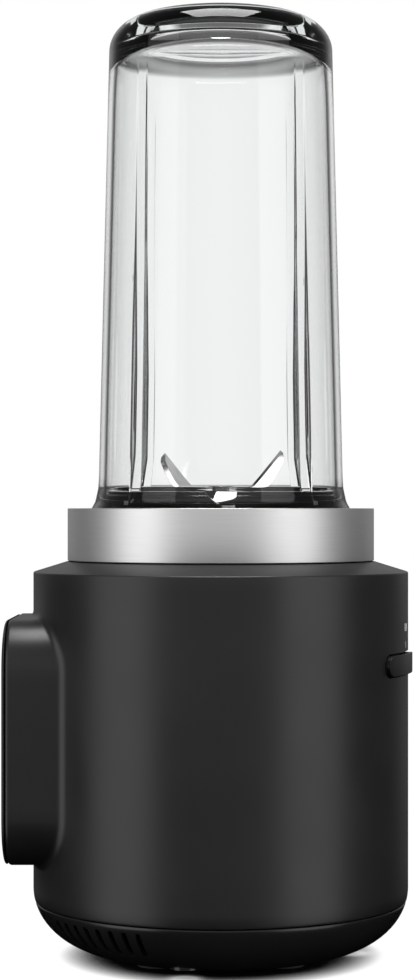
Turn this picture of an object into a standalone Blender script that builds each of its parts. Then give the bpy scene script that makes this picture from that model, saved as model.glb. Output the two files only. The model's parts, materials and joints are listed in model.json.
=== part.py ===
"""A cordless personal blender: a clear jar standing upside down on a round battery-powered base.

Units are metres, +Z is up, and the origin is where the motor axis meets the surface that the blender stands on.
+X is the front (power switch), -X the back (battery pod). All lengths below are in millimetres, times MM.
"""

from math import acos, asin, cos, degrees, pi, radians, sin, sqrt

import bmesh
import bpy
from mathutils import Matrix, Vector

MM = 0.001
GAP = 0.3  # left between pieces that touch on the real object

# Driving dimensions -------------------------------------------------------------------------------------------
OVERALL_HEIGHT = 330.0
BODY_RADIUS = 66.0
BODY_WALL = 2.6
BOWL_TOP = 24.5  # where the straight wall starts to curve in
BOWL_BOTTOM = 2.0
BOWL_FLAT_RADIUS = 38.0
SEAM_HEIGHT = 19.8  # between housing and bottom cover
SHOULDER_EDGE = 135.0
COLLAR_RADIUS = 54.0
COLLAR_WALL = 2.5
COLLAR_BOTTOM = 138.8
COLLAR_TOP = 157.2

POD_HALF_WIDTH = 39.0
POD_BOTTOM = 34.7
POD_TOP = 119.1
POD_BACK = 72.9  # distance of the pod's rim behind the axis
POD_CORNER = 17.0
POD_WALL = 2.7
BAY_DEPTH_END = 49.0  # the bay's floor, behind the axis
BATTERY_BACK = 74.6

SWITCH_HEIGHT = 103.5
SWITCH_SLOT_HALF_ANGLE = 32.6  # degrees, either side of the front
SWITCH_SLOT_HALF_HEIGHT = 4.1
SWITCH_KNOB_RADIUS = 67.5
SWITCH_KNOB_START = -32.0  # degrees from the front
SWITCH_KNOB_ARC = 28.0
SWITCH_CARRIER_START = -65.0
SWITCH_CARRIER_ARC = 99.0

SOCKET_RADIUS = 48.6
SOCKET_FLOOR = 141.0
HOLDER_RADIUS = 48.0
HOLDER_BOTTOM = 143.6
HOLDER_TOP = 156.5
HOLDER_RIM_RADIUS = 39.9
HOLDER_RIM_TOP = 162.3
HOLDER_GROOVE_FLOOR = 146.4
HOLDER_GROOVE_RADIUS = 46.3

JAR_MOUTH = 148.4
JAR_MOUTH_RADIUS = 44.5
JAR_MOUTH_BORE = 41.2
JAR_FLANGE_RADIUS = 45.7
JAR_FOOT_TOP = 163.5  # the flared foot ends here
JAR_LOW_RADIUS = 43.1
JAR_HIGH_RADIUS = 39.4
JAR_SHOULDER = 318.0
JAR_WALL = 2.6
JAR_CEILING = 320.5
JAR_RECESS_RADIUS = 22.5

THREAD_LEAD = 18.0
THREAD_STARTS = 3
THREAD_ARC = 50.0
THREAD_THICKNESS = 1.6
JAR_THREAD_RADIUS = 46.0
HOLDER_THREAD_RADIUS = 45.0
JAR_THREAD_START = 149.6  # height of a jar ridge's middle at its low end
THREAD_RISE_TO_HOLDER = 2.1

MOTOR_RADIUS = 21.5
MOTOR_BOTTOM = 58.0
MOTOR_TOP = 121.0
MOTOR_SHAFT_RADIUS = 2.5
COUPLING_LUGS = 3
COUPLING_LUG_ARC = 24.0

BLADE_THICKNESS = 1.4
UPPER_BLADE_HEIGHT = 162.0
LOWER_BLADE_HEIGHT = 160.0
UPPER_BLADE_ANGLE = 155.0  # direction of one wing, from the front
LOWER_BLADE_ANGLE = -83.0

CELL_RADIUS = 9.0
CELL_LENGTH = 65.0
CELL_SPACING = 18.3
CELL_SETBACK = 61.1
CELL_LOW = 44.4

FOOT_CIRCLE = 31.5
SCREW_CIRCLE = 46.0
SCREW_ANGLES = (0.0, 105.0, 255.0)
MOUNT_CIRCLE = 33.0
MOUNT_ANGLES = (30.0, 150.0, 270.0)

FINE = 48  # facets round a large turned piece
MEDIUM = 36
COARSE = 18
TINY = 10

PALETTE = {  # base colour, roughness, metallic
    "soft_black": ((0.030, 0.030, 0.031), 0.50, 0.0),
    "dark_plastic": ((0.012, 0.012, 0.013), 0.35, 0.0),
    "gloss_black": ((0.010, 0.010, 0.011), 0.15, 0.0),
    "rubber": ((0.015, 0.015, 0.016), 0.85, 0.0),
    "satin_aluminium": ((0.62, 0.62, 0.62), 0.32, 1.0),
    "steel": ((0.60, 0.60, 0.61), 0.20, 1.0),
    "clear": ((0.90, 0.92, 0.93), 0.05, 0.0),
    "bronze": ((0.55, 0.38, 0.18), 0.35, 1.0),
    "magnet": ((0.09, 0.09, 0.10), 0.60, 0.0),
    "lamination": ((0.35, 0.34, 0.33), 0.45, 1.0),
    "copper": ((0.72, 0.36, 0.20), 0.35, 1.0),
    "board_green": ((0.02, 0.16, 0.07), 0.45, 0.0),
    "lens_white": ((0.75, 0.78, 0.80), 0.25, 0.0),
    "cell_wrap": ((0.05, 0.22, 0.45), 0.40, 0.0),
    "wire_red": ((0.55, 0.02, 0.02), 0.45, 0.0),
    "wire_black": ((0.02, 0.02, 0.02), 0.45, 0.0),
    "nylon": ((0.55, 0.55, 0.52), 0.50, 0.0),
}


# Scene and object helpers -------------------------------------------------------------------------------------
def clear_scene():
    for obj in list(bpy.data.objects):
        bpy.data.objects.remove(obj, do_unlink=True)


def new_collection(name):
    collection = bpy.data.collections.new(name)
    bpy.context.scene.collection.children.link(collection)
    return collection


def principled(name):
    if name in bpy.data.materials:
        return bpy.data.materials[name]
    colour, roughness, metallic = PALETTE[name]
    material = bpy.data.materials.new(name)
    material.use_nodes = True
    shader = material.node_tree.nodes["Principled BSDF"]
    shader.inputs["Base Color"].default_value = (*colour, 1.0)
    shader.inputs["Roughness"].default_value = roughness
    shader.inputs["Metallic"].default_value = metallic
    if name == "clear":
        shader.inputs["Transmission Weight"].default_value = 1.0
    return material


def place(obj, material=None):
    """Links a piece to the blender's collection, or a cutter (no material) to the hidden one."""
    if material is None:
        CUTTERS.objects.link(obj)
        obj.hide_render = True
        obj.display_type = "WIRE"
    else:
        PIECES.objects.link(obj)
        obj.data.materials.append(principled(material))
    return obj


def mesh_object(name, bm, material=None):
    mesh = bpy.data.meshes.new(name)
    bmesh.ops.recalc_face_normals(bm, faces=bm.faces)
    bm.to_mesh(mesh)
    bm.free()
    mesh.shade_smooth()
    mesh.set_sharp_from_angle(angle=radians(35))
    return place(bpy.data.objects.new(name, mesh), material)


def turned(name, profile, steps, material=None):
    """A solid of revolution about Z. The profile is (radius, height) points, down the outer side first."""
    mesh = bpy.data.meshes.new(name)
    points = [(r * MM, 0.0, z * MM) for r, z in profile]
    closed = profile[0][0] > 0 or profile[-1][0] > 0
    edges = [(i, i + 1) for i in range(len(points) - 1)]
    if closed:
        edges.append((len(points) - 1, 0))
    mesh.from_pydata(points, edges, [])
    obj = place(bpy.data.objects.new(name, mesh), material)
    screw = obj.modifiers.new("turn", "SCREW")
    screw.steps = steps
    screw.render_steps = steps
    screw.use_merge_vertices = True
    screw.merge_threshold = 0.00001
    screw.use_smooth_shade = True
    return obj


def rod(name, radius, low, high, steps, material=None, at=(0.0, 0.0)):
    """A round bar standing between two heights."""
    bm = bmesh.new()
    middle = Matrix.Translation((at[0] * MM, at[1] * MM, (low + high) / 2 * MM))
    bmesh.ops.create_cone(
        bm, cap_ends=True, segments=steps, radius1=radius * MM, radius2=radius * MM,
        depth=(high - low) * MM, matrix=middle,
    )
    return mesh_object(name, bm, material)


def radial_rod(name, radius, near, far, height, angle, steps, material=None):
    """A round bar that points away from the axis, between two distances from it."""
    bm = bmesh.new()
    bmesh.ops.create_cone(
        bm, cap_ends=True, segments=steps, radius1=radius * MM, radius2=radius * MM,
        depth=(far - near) * MM, matrix=Matrix.Rotation(pi / 2, 4, "Y"),
    )
    middle = Vector(((near + far) / 2 * MM, 0, height * MM))
    bmesh.ops.translate(bm, verts=bm.verts, vec=middle)
    bmesh.ops.rotate(bm, verts=bm.verts, cent=(0, 0, 0), matrix=Matrix.Rotation(radians(angle), 3, "Z"))
    return mesh_object(name, bm, material)


def block(name, low, high, material=None, turn=0.0):
    """A box between two corners, turned about Z by an angle in degrees."""
    bm = bmesh.new()
    bmesh.ops.create_cube(bm, size=1.0)
    size = [(b - a) * MM for a, b in zip(low, high)]
    centre = [(a + b) / 2 * MM for a, b in zip(low, high)]
    bmesh.ops.scale(bm, verts=bm.verts, vec=size)
    bmesh.ops.translate(bm, verts=bm.verts, vec=centre)
    bmesh.ops.rotate(bm, verts=bm.verts, cent=(0, 0, 0), matrix=Matrix.Rotation(radians(turn), 3, "Z"))
    return mesh_object(name, bm, material)


def extruded(name, outline, thickness, matrix, material=None):
    """A flat outline, given in its own XY plane, with a thickness along its own Z, put in place by a matrix."""
    curve = bpy.data.curves.new(name + "_outline", "CURVE")
    curve.dimensions = "2D"
    curve.fill_mode = "BOTH"
    curve.extrude = thickness / 2 * MM
    spline = curve.splines.new("POLY")
    spline.points.add(len(outline) - 1)
    for point, (x, y) in zip(spline.points, outline):
        point.co = (x * MM, y * MM, 0, 1)
    spline.use_cyclic_u = True
    drawn = bpy.data.objects.new(name + "_outline", curve)
    bpy.context.scene.collection.objects.link(drawn)
    drawn.matrix_world = matrix
    obj = mesh_from_curve(name, drawn, material)
    return obj


def mesh_from_curve(name, drawn, material=None):
    """Turns a curve object into a closed mesh object with its caps welded on."""
    bpy.context.view_layer.update()
    graph = bpy.context.evaluated_depsgraph_get()
    mesh = bpy.data.meshes.new_from_object(drawn.evaluated_get(graph))
    bm = bmesh.new()
    bm.from_mesh(mesh)
    bmesh.ops.remove_doubles(bm, verts=bm.verts, dist=0.000002)
    bmesh.ops.dissolve_limit(
        bm, angle_limit=radians(0.5), verts=bm.verts, edges=bm.edges, delimit={"NORMAL"}
    )
    bmesh.ops.transform(bm, matrix=drawn.matrix_world, verts=bm.verts)
    bpy.data.objects.remove(drawn, do_unlink=True)
    bpy.data.meshes.remove(mesh)
    return mesh_object(name, bm, material)


def boolean(obj, operation, other):
    modifier = obj.modifiers.new(f"{operation.lower()} {other.name}", "BOOLEAN")
    modifier.operation = operation
    modifier.solver = "EXACT"
    modifier.object = other
    return obj


def cut(obj, *cutters):
    for cutter in cutters:
        boolean(obj, "DIFFERENCE", cutter)
    return obj


def join(obj, *additions):
    for addition in additions:
        boolean(obj, "UNION", addition)
    return obj


def bevelled(obj, width, segments=2, angle=40.0):
    modifier = obj.modifiers.new("rounded edges", "BEVEL")
    modifier.width = width * MM
    modifier.segments = segments
    modifier.limit_method = "ANGLE"
    modifier.angle_limit = radians(angle)
    return obj


# Outlines -----------------------------------------------------------------------------------------------------
def polar(radius, angle):
    return radius * cos(radians(angle)), radius * sin(radians(angle))


def arc(centre, radius, start, end, count):
    """Points on a circular or elliptical arc. The radius is one number or a pair for the two directions."""
    rx, ry = radius if isinstance(radius, tuple) else (radius, radius)
    steps = [start + (end - start) * i / (count - 1) for i in range(count)]
    return [(centre[0] + rx * cos(radians(a)), centre[1] + ry * sin(radians(a))) for a in steps]


def rounded_rectangle(low, high, corner, per_corner):
    """Anticlockwise outline between two opposite corners."""
    corners = (
        (high[0] - corner, high[1] - corner, 0),
        (low[0] + corner, high[1] - corner, 90),
        (low[0] + corner, low[1] + corner, 180),
        (high[0] - corner, low[1] + corner, 270),
    )
    outline = []
    for x, y, start in corners:
        outline += arc((x, y), corner, start, start + 90, per_corner)
    return outline


def sector(inner, outer, start, end, count):
    """Outline of a piece of a ring between two angles."""
    far = [polar(outer, start + (end - start) * i / count) for i in range(count + 1)]
    near = [polar(inner, start + (end - start) * i / count) for i in range(count + 1)]
    return far + near[::-1]


def upright(height):
    """Matrix for an outline drawn in the world's XY directions, centred on this height."""
    return Matrix.Translation((0, 0, height * MM))


def facing_back(distance):
    """Matrix for an outline whose own x and y are the world's Y and Z, centred this far behind the axis."""
    turn = Matrix(((0, 0, 1), (1, 0, 0), (0, 1, 0))).to_4x4()
    return Matrix.Translation((-distance * MM, 0, 0)) @ turn


def facing_front(distance):
    return facing_back(-distance)


def bowl_radius(height):
    """Outer radius of the base's curved lower end at a height."""
    share = (BOWL_TOP - height) / (BOWL_TOP - BOWL_BOTTOM)
    return BOWL_FLAT_RADIUS + (BODY_RADIUS - BOWL_FLAT_RADIUS) * sqrt(max(0.0, 1 - share**2))


# The base's casing --------------------------------------------------------------------------------------------
def make_housing():
    inner = BODY_RADIUS - BODY_WALL
    flange_radius = 47.0
    shoulder_top = COLLAR_BOTTOM - GAP
    profile = [
        (flange_radius, shoulder_top),
        (COLLAR_RADIUS + 0.4, shoulder_top),
        (BODY_RADIUS - 0.8, SHOULDER_EDGE + 0.1),
        (BODY_RADIUS - 0.15, SHOULDER_EDGE - 0.25),
        (BODY_RADIUS, SHOULDER_EDGE - 0.8),
        (BODY_RADIUS, BOWL_TOP),
        (bowl_radius(SEAM_HEIGHT), SEAM_HEIGHT + GAP),
        (bowl_radius(SEAM_HEIGHT) - BODY_WALL, SEAM_HEIGHT + GAP),
        (inner, BOWL_TOP),
        (inner, SHOULDER_EDGE - 2.4),
        (COLLAR_RADIUS, shoulder_top - BODY_WALL),
        (flange_radius, shoulder_top - BODY_WALL),
    ]
    housing = turned("housing", profile, FINE, "soft_black")
    join(housing, *pod_walls(), *cover_bosses(inner), *board_posts(inner))
    cut(housing, battery_bay(), terminal_window(), switch_slot())
    cut(housing, *[lens_hole(i, angle) for i, angle in enumerate(LENS_ANGLES, 1)])
    return housing


def pod_walls():
    """The battery pod: a rounded box that grows out of the round wall."""
    low, high = (-POD_HALF_WIDTH, POD_BOTTOM), (POD_HALF_WIDTH, POD_TOP)
    inside_end = BAY_DEPTH_END - POD_WALL
    outline = rounded_rectangle(low, high, POD_CORNER, 6)
    pod = extruded(
        "pod_form", outline, POD_BACK - inside_end, facing_back((POD_BACK + inside_end) / 2)
    )
    bevelled(pod, 1.2, 2, 60)
    return [pod]


def battery_bay():
    low = (-POD_HALF_WIDTH + POD_WALL, POD_BOTTOM + POD_WALL)
    high = (POD_HALF_WIDTH - POD_WALL, POD_TOP - POD_WALL)
    outline = rounded_rectangle(low, high, POD_CORNER - POD_WALL, 6)
    mouth = POD_BACK + 8
    return extruded(
        "bay_cutter", outline, mouth - BAY_DEPTH_END, facing_back((mouth + BAY_DEPTH_END) / 2)
    )


def terminal_window():
    return block("terminal_window", (-BAY_DEPTH_END - 4, -9.4, 44.6), (-BAY_DEPTH_END + 8, 9.4, 53.4))


def switch_slot():
    half = SWITCH_SLOT_HALF_ANGLE
    return curved_bar("slot_cutter", 55, 72, -half, half, SWITCH_SLOT_HALF_HEIGHT)


def curved_bar(name, inner, outer, start, end, half_height, material=None):
    """A round-ended bar bent round the axis at the switch's height, between two radii and two angles."""
    per_degree = radians(outer)
    cap = half_height / per_degree
    angles = [start + cap * (1 - cos(radians(a))) for a in (22, 45, 68, 90)]
    middle = 8
    angles += [start + cap + (end - start - 2 * cap) * i / middle for i in range(1, middle)]
    angles += [end - cap * (1 - cos(radians(a))) for a in (90, 68, 45, 22)]
    bm = bmesh.new()
    rings = []
    for angle in angles:
        inset = max(0.0, cap - min(angle - start, end - angle)) / cap
        half = half_height * sqrt(1 - inset**2)
        ring = []
        for radius, dz in ((inner, -half), (outer, -half), (outer, half), (inner, half)):
            x, y = polar(radius, angle)
            ring.append(bm.verts.new((x * MM, y * MM, (SWITCH_HEIGHT + dz) * MM)))
        rings.append(ring)
    for a, b in zip(rings, rings[1:]):
        for k in range(4):
            bm.faces.new((a[k], a[(k + 1) % 4], b[(k + 1) % 4], b[k]))
    bm.faces.new(rings[0])
    bm.faces.new(rings[-1][::-1])
    return mesh_object(name, bm, material)


def cover_bosses(inner):
    """Posts for the bottom cover's screws, each with a rib that ties it to the wall and a pilot hole."""
    found = []
    for i, angle in enumerate(SCREW_ANGLES, 1):
        post = rod(f"cover_boss_{i}", 4.0, 24.0, 42.0, TINY, at=polar(SCREW_CIRCLE, angle))
        rib = block(f"boss_rib_{i}", (SCREW_CIRCLE + 2, -1.1, 26), (inner + 1, 1.1, 41), turn=angle)
        pilot = rod(f"boss_pilot_{i}", 1.8, 20.0, 36.0, 8, at=polar(SCREW_CIRCLE, angle))
        found.append(cut(join(post, rib), pilot))
    return found


def board_posts(inner):
    """Four stubs behind the front wall that carry the circuit board."""
    found = []
    for i, (y, z) in enumerate(((-19, 68), (19, 68), (-19, 115), (19, 115)), 1):
        bm = bmesh.new()
        turn = Matrix.Rotation(pi / 2, 4, "Y")
        bmesh.ops.create_cone(
            bm, cap_ends=True, segments=8, radius1=2.4 * MM, radius2=2.4 * MM, depth=14 * MM, matrix=turn
        )
        reach = sqrt(inner**2 - y**2) + 1
        bmesh.ops.translate(bm, verts=bm.verts, vec=((reach - 7) * MM, y * MM, z * MM))
        found.append(mesh_object(f"board_post_{i}", bm))
    return found


LENS_ANGLES = (-14.5, 0.0, 14.5)
LENS_HEIGHT = 109.9


def lens_hole(number, angle):
    return radial_rod(f"lens_hole_{number}", 1.6, 58, 72, LENS_HEIGHT, angle, TINY)


def make_lenses():
    for i, angle in enumerate(LENS_ANGLES, 1):
        radial_rod(
            f"indicator_lens_{i}", 1.3, 62.9, BODY_RADIUS + 0.1, LENS_HEIGHT, angle, TINY, "lens_white"
        )


def make_bottom_cover():
    """A shallow bowl with cooling slots on both sides of the pod, and deep bosses for its screws."""
    wall = 2.2
    outer = [
        (bowl_radius(z), z) for z in (SEAM_HEIGHT, 15.0, 10.0, 6.0, 3.4)
    ] + [(BOWL_FLAT_RADIUS, BOWL_BOTTOM)]
    inner = [(r - wall * 0.8, z + wall * 0.75) for r, z in outer[1:-1]]
    profile = outer + [(0, BOWL_BOTTOM), (0, BOWL_BOTTOM + wall)]
    profile += [(BOWL_FLAT_RADIUS, BOWL_BOTTOM + wall)] + inner[::-1]
    profile += [(bowl_radius(SEAM_HEIGHT) - wall, SEAM_HEIGHT)]
    cover = turned("bottom_cover", profile, FINE, "dark_plastic")
    for i, angle in enumerate(SCREW_ANGLES, 1):
        at = polar(SCREW_CIRCLE, angle)
        join(cover, rod(f"screw_tower_{i}", 5.2, 3.2, 22.5, 16, at=at))
        cut(cover, rod(f"head_recess_{i}", 3.7, -2.0, 12.0, TINY, at=at))
        cut(cover, rod(f"shank_hole_{i}", 1.9, 10.0, 24.0, 8, at=at))
    for i in range(4):
        at = polar(FOOT_CIRCLE, 45 + 90 * i)
        cut(cover, rod(f"foot_hole_{i + 1}", 2.8, 0.0, 6.0, TINY, at=at))
    for side in (-1, 1):
        for i in range(VENTS_PER_SIDE):
            cut(cover, vent_cutter(side, i))
    return cover


VENTS_PER_SIDE = 8
VENT_FIRST_ANGLE = 115.0  # from the front, round either side
VENT_STEP = 4.9
VENT_LOW = 8.6
VENT_HIGH = 17.4
VENT_WIDTH = 2.2


def vent_cutter(side, index):
    """A slot that follows the bowl's slope, between two heights on its wall."""
    angle = side * (VENT_FIRST_ANGLE + VENT_STEP * index)
    name = f"vent_cutter_{'left' if side < 0 else 'right'}_{index + 1}"
    return block(name, (50, -VENT_WIDTH / 2, VENT_LOW), (72, VENT_WIDTH / 2, VENT_HIGH), turn=angle)


def make_feet():
    profile = [
        (0, 4.6), (2.4, 4.6), (2.4, BOWL_BOTTOM - GAP), (6.6, BOWL_BOTTOM - GAP),
        (6.6, 0.5), (6.0, 0), (0, 0),
    ]
    for i in range(4):
        foot = turned(f"foot_{i + 1}", profile, 16, "rubber")
        x, y = polar(FOOT_CIRCLE, 45 + 90 * i)
        foot.location = (x * MM, y * MM, 0)


def make_screw(name, at, head_low, head_radius, head_height, shank_top, shank_radius):
    """A screw that stands head down, with a slot for its driver."""
    profile = [
        (0, shank_top), (shank_radius, shank_top), (shank_radius, head_low + head_height),
        (head_radius, head_low + head_height), (head_radius, head_low + 0.4), (head_radius - 0.6, head_low),
        (0, head_low),
    ]
    screw = turned(name, profile, TINY, "steel")
    screw.location = (at[0] * MM, at[1] * MM, 0)
    arm, half = head_radius * 0.6, head_radius * 0.15
    slot = block(
        f"{name}_slot",
        (at[0] - arm, at[1] - half, head_low - 1),
        (at[0] + arm, at[1] + half, head_low + head_height * 0.5),
    )
    return cut(screw, slot)


def make_cover_screws():
    for i, angle in enumerate(SCREW_ANGLES, 1):
        make_screw(f"cover_screw_{i}", polar(SCREW_CIRCLE, angle), 9.5, 3.2, 2.2, 34.0, 1.5)


def make_collar_band():
    inner = COLLAR_RADIUS - COLLAR_WALL
    edge = 0.4
    profile = [
        (inner, COLLAR_TOP), (COLLAR_RADIUS - edge, COLLAR_TOP), (COLLAR_RADIUS, COLLAR_TOP - edge),
        (COLLAR_RADIUS, COLLAR_BOTTOM + edge), (COLLAR_RADIUS - edge, COLLAR_BOTTOM), (inner, COLLAR_BOTTOM),
    ]
    return turned("collar_band", profile, FINE, "satin_aluminium")


def make_top_deck():
    """The jar's socket, the splash collar round the drive, and three posts for the motor."""
    outer = COLLAR_RADIUS - COLLAR_WALL - GAP
    profile = [
        (SOCKET_RADIUS, COLLAR_TOP - 0.4), (outer, COLLAR_TOP - 0.4), (outer, COLLAR_BOTTOM),
        (46.6, COLLAR_BOTTOM), (46.6, 135.6), (44.2, 135.6), (44.2, 138.2), (15.0, 138.2),
        (15.0, 145.0), (17.2, 145.0), (17.2, SOCKET_FLOOR), (SOCKET_RADIUS, SOCKET_FLOOR),
    ]
    deck = turned("top_deck", profile, MEDIUM, "dark_plastic")
    for i, angle in enumerate(MOUNT_ANGLES, 1):
        at = polar(MOUNT_CIRCLE, angle)
        post = rod(f"motor_post_{i}", 4.2, 124.3, 139.6, TINY, at=at)
        join(deck, cut(post, rod(f"post_pilot_{i}", 1.8, 122, 134, 8, at=at)))
    for side in (-1, 1):
        inside, outside = sorted((side * 6.4, side * 8.2))
        low, high = (inside, INTERLOCK_CIRCLE - 4, 117), (outside, INTERLOCK_CIRCLE + 4, 139.6)
        join(deck, block(f"switch_bracket_{'left' if side < 0 else 'right'}", low, high))
    return cut(deck, rod("interlock_hole", 2.3, 130, 146, TINY, at=(0, INTERLOCK_CIRCLE)))


def make_drip_seal():
    profile = [
        (17.5, 144.6), (18.4, 144.6), (19.2, 143.2), (20.4, 141.8), (20.4, 141.3), (17.5, 141.3),
    ]
    return turned("drip_seal", profile, COARSE, "rubber")


# Lock ring and interlock --------------------------------------------------------------------------------------
INTERLOCK_CIRCLE = 41.5
DOG_ANGLES = (20.0, 140.0, 260.0)
DOG_ARC = 8.0


def make_lock_ring():
    """Turns in the socket with the jar unit: its dogs sit in pockets in the blade holder's edge."""
    low = SOCKET_FLOOR + GAP
    profile = [(44.2, low + 2.0), (48.2, low + 2.0), (48.2, low), (44.2, low)]
    ring = turned("lock_ring", profile, MEDIUM, "nylon")
    for i, angle in enumerate(DOG_ANGLES, 1):
        outline = sector(45.2, 48.0, angle - DOG_ARC / 2, angle + DOG_ARC / 2, 2)
        join(ring, extruded(f"lock_dog_{i}", outline, 2.9, upright(low + 2.45)))
    return ring


def make_interlock():
    """A sprung pin that the jar unit holds down, and the small switch below it."""
    at = (0, INTERLOCK_CIRCLE)
    top = HOLDER_BOTTOM - GAP
    profile = [
        (0, top), (1.2, top), (1.7, top - 0.6), (1.7, 134.5), (3.2, 134.5), (3.2, 133.5),
        (1.2, 133.5), (1.2, 130.2), (0, 130.2),
    ]
    pin = turned("interlock_pin", profile, TINY, "nylon")
    pin.location = (0, at[1] * MM, 0)
    block("interlock_switch", (-6, at[1] - 4, 116), (6, at[1] + 4, 128), "gloss_black")
    spring = coil("interlock_spring", 2.1, 0.3, 128.3, 133.2, 4, "steel")
    spring.location = (0, at[1] * MM, 0)


def coil(name, radius, wire, low, high, turns, material):
    """A compression spring: a helix of wire whose lowest and highest points are the two heights."""
    per_turn = 8
    curve = bpy.data.curves.new(name, "CURVE")
    curve.dimensions = "3D"
    curve.bevel_depth = wire * MM
    curve.bevel_resolution = 0
    curve.use_fill_caps = True
    spline = curve.splines.new("POLY")
    count = turns * per_turn
    spline.points.add(count)
    for i, point in enumerate(spline.points):
        x, y = polar(radius, 360 * i / per_turn)
        z = low + wire + (high - low - 2 * wire) * i / count
        point.co = (x * MM, y * MM, z * MM, 1)
    return place(bpy.data.objects.new(name, curve), material)


# Motor and drive ----------------------------------------------------------------------------------------------
def make_motor():
    inner = MOTOR_RADIUS - 1.3
    can = [
        (4.8, MOTOR_TOP + 3.4), (6.6, MOTOR_TOP + 3.4), (6.6, MOTOR_TOP), (MOTOR_RADIUS - 1, MOTOR_TOP),
        (MOTOR_RADIUS, MOTOR_TOP - 1), (MOTOR_RADIUS, MOTOR_BOTTOM), (inner, MOTOR_BOTTOM),
        (inner, MOTOR_TOP - 1.5), (4.8, MOTOR_TOP - 1.5),
    ]
    turned("motor_can", can, 24, "steel")
    cap_top = MOTOR_BOTTOM - GAP
    cap = [
        (inner - GAP, cap_top + 2.5), (inner - GAP, cap_top), (MOTOR_RADIUS, cap_top),
        (MOTOR_RADIUS, cap_top - 2.5), (7, cap_top - 2.5), (7, cap_top - 4.5), (3.1, cap_top - 4.5),
        (3.1, cap_top + 1), (inner - 2.5, cap_top + 1), (inner - 2.5, cap_top + 2.5),
    ]
    turned("motor_end_cap", cap, 24, "dark_plastic")
    bearing = [(4.5, MOTOR_TOP + 3.2), (4.5, MOTOR_TOP - 1.5), (2.9, MOTOR_TOP - 1.5), (2.9, MOTOR_TOP + 3.2)]
    turned("motor_bearing", bearing, 16, "bronze")
    for i, start in enumerate((25.0, 205.0), 1):
        outline = sector(17.7, inner - GAP, start, start + 130, 8)
        extruded(f"magnet_{i}", outline, 46, upright(89), "magnet")
    mount = rod("motor_mount", 37, MOTOR_TOP + GAP, MOTOR_TOP + 3, MEDIUM, "steel")
    cut(mount, rod("mount_bore", 7.1, 118, 127, COARSE))
    for i, angle in enumerate(MOUNT_ANGLES, 1):
        at = polar(MOUNT_CIRCLE, angle)
        cut(mount, rod(f"mount_hole_{i}", 1.9, 118, 127, 8, at=at))
        make_screw(f"mount_screw_{i}", at, 118.6, 3.4, 2.4, 132, 1.5)


def make_rotor():
    rod("motor_shaft", MOTOR_SHAFT_RADIUS, 43.5, 141.0, 16, "steel")
    bore = MOTOR_SHAFT_RADIUS + GAP
    armature = extruded("armature", slotted_disc(16.9, 9.0, 5), 38, upright(90), "lamination")
    cut(armature, rod("armature_bore", bore, 60, 120, 16))
    commutator = [(6.2, 69), (6.2, 62), (bore, 62), (bore, 69)]
    turned("commutator", commutator, COARSE, "copper")
    make_fan(bore)
    make_drive_coupling(bore)


def slotted_disc(outer, inner, poles):
    """Outline of a motor armature: wide pole faces with a narrow slot between each pair."""
    outline = []
    pole = 360 / poles
    for i in range(poles):
        start = i * pole
        outline += [polar(outer, start + a) for a in (4, pole / 3, 2 * pole / 3, pole - 4)]
        outline += [polar(outer - 3, start + pole - 6), polar(inner, start + pole - 18)]
        outline += [polar(inner, start + pole + 18), polar(outer - 3, start + pole + 6)]
    return outline


def make_fan(bore):
    """A centrifugal fan: a disc with a hub and curved-back vanes."""
    vanes = 7
    profile = [
        (bore, 51.5), (6.5, 51.5), (6.5, 46.2), (23, 45.6), (23, 44.4), (bore, 44.4),
    ]
    fan = turned("cooling_fan", profile, COARSE, "nylon")
    for i in range(vanes):
        outline = [(9.5, -0.7), (22.4, 3.0), (22.1, 4.3), (9.2, 0.7)]
        turn = Matrix.Rotation(2 * pi * i / vanes, 4, "Z")
        join(fan, extruded(f"fan_vane_{i + 1}", outline, 6.2, turn @ upright(48.2)))
    return fan


def coupling_lugs(prefix, inner, outer, low, high, start):
    """Prisms for the lugs of one half of the drive coupling."""
    lugs = []
    for i in range(COUPLING_LUGS):
        middle = start + 360 / COUPLING_LUGS * i
        half = COUPLING_LUG_ARC / 2
        outline = sector(inner, outer, middle - half, middle + half, 3)
        lugs.append(extruded(f"{prefix}_{i + 1}", outline, high - low, upright((low + high) / 2)))
    return lugs


def make_drive_coupling(bore):
    """The motor's half: a flange with lugs that push the other half round."""
    profile = [
        (bore, 141.5), (12.2, 141.5), (12.2, 139.0), (5.4, 139.0), (5.4, 128.0), (bore, 128.0),
    ]
    coupling = turned("drive_coupling", profile, COARSE, "dark_plastic")
    return join(coupling, *coupling_lugs("drive_lug", 7.0, 11.6, 140.5, 146.4, 0))


# Blade unit ---------------------------------------------------------------------------------------------------
NOTCH_COUNT = 4
SHAFT_RADIUS = 3.0
BEARING_BORE = 3.3


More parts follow.
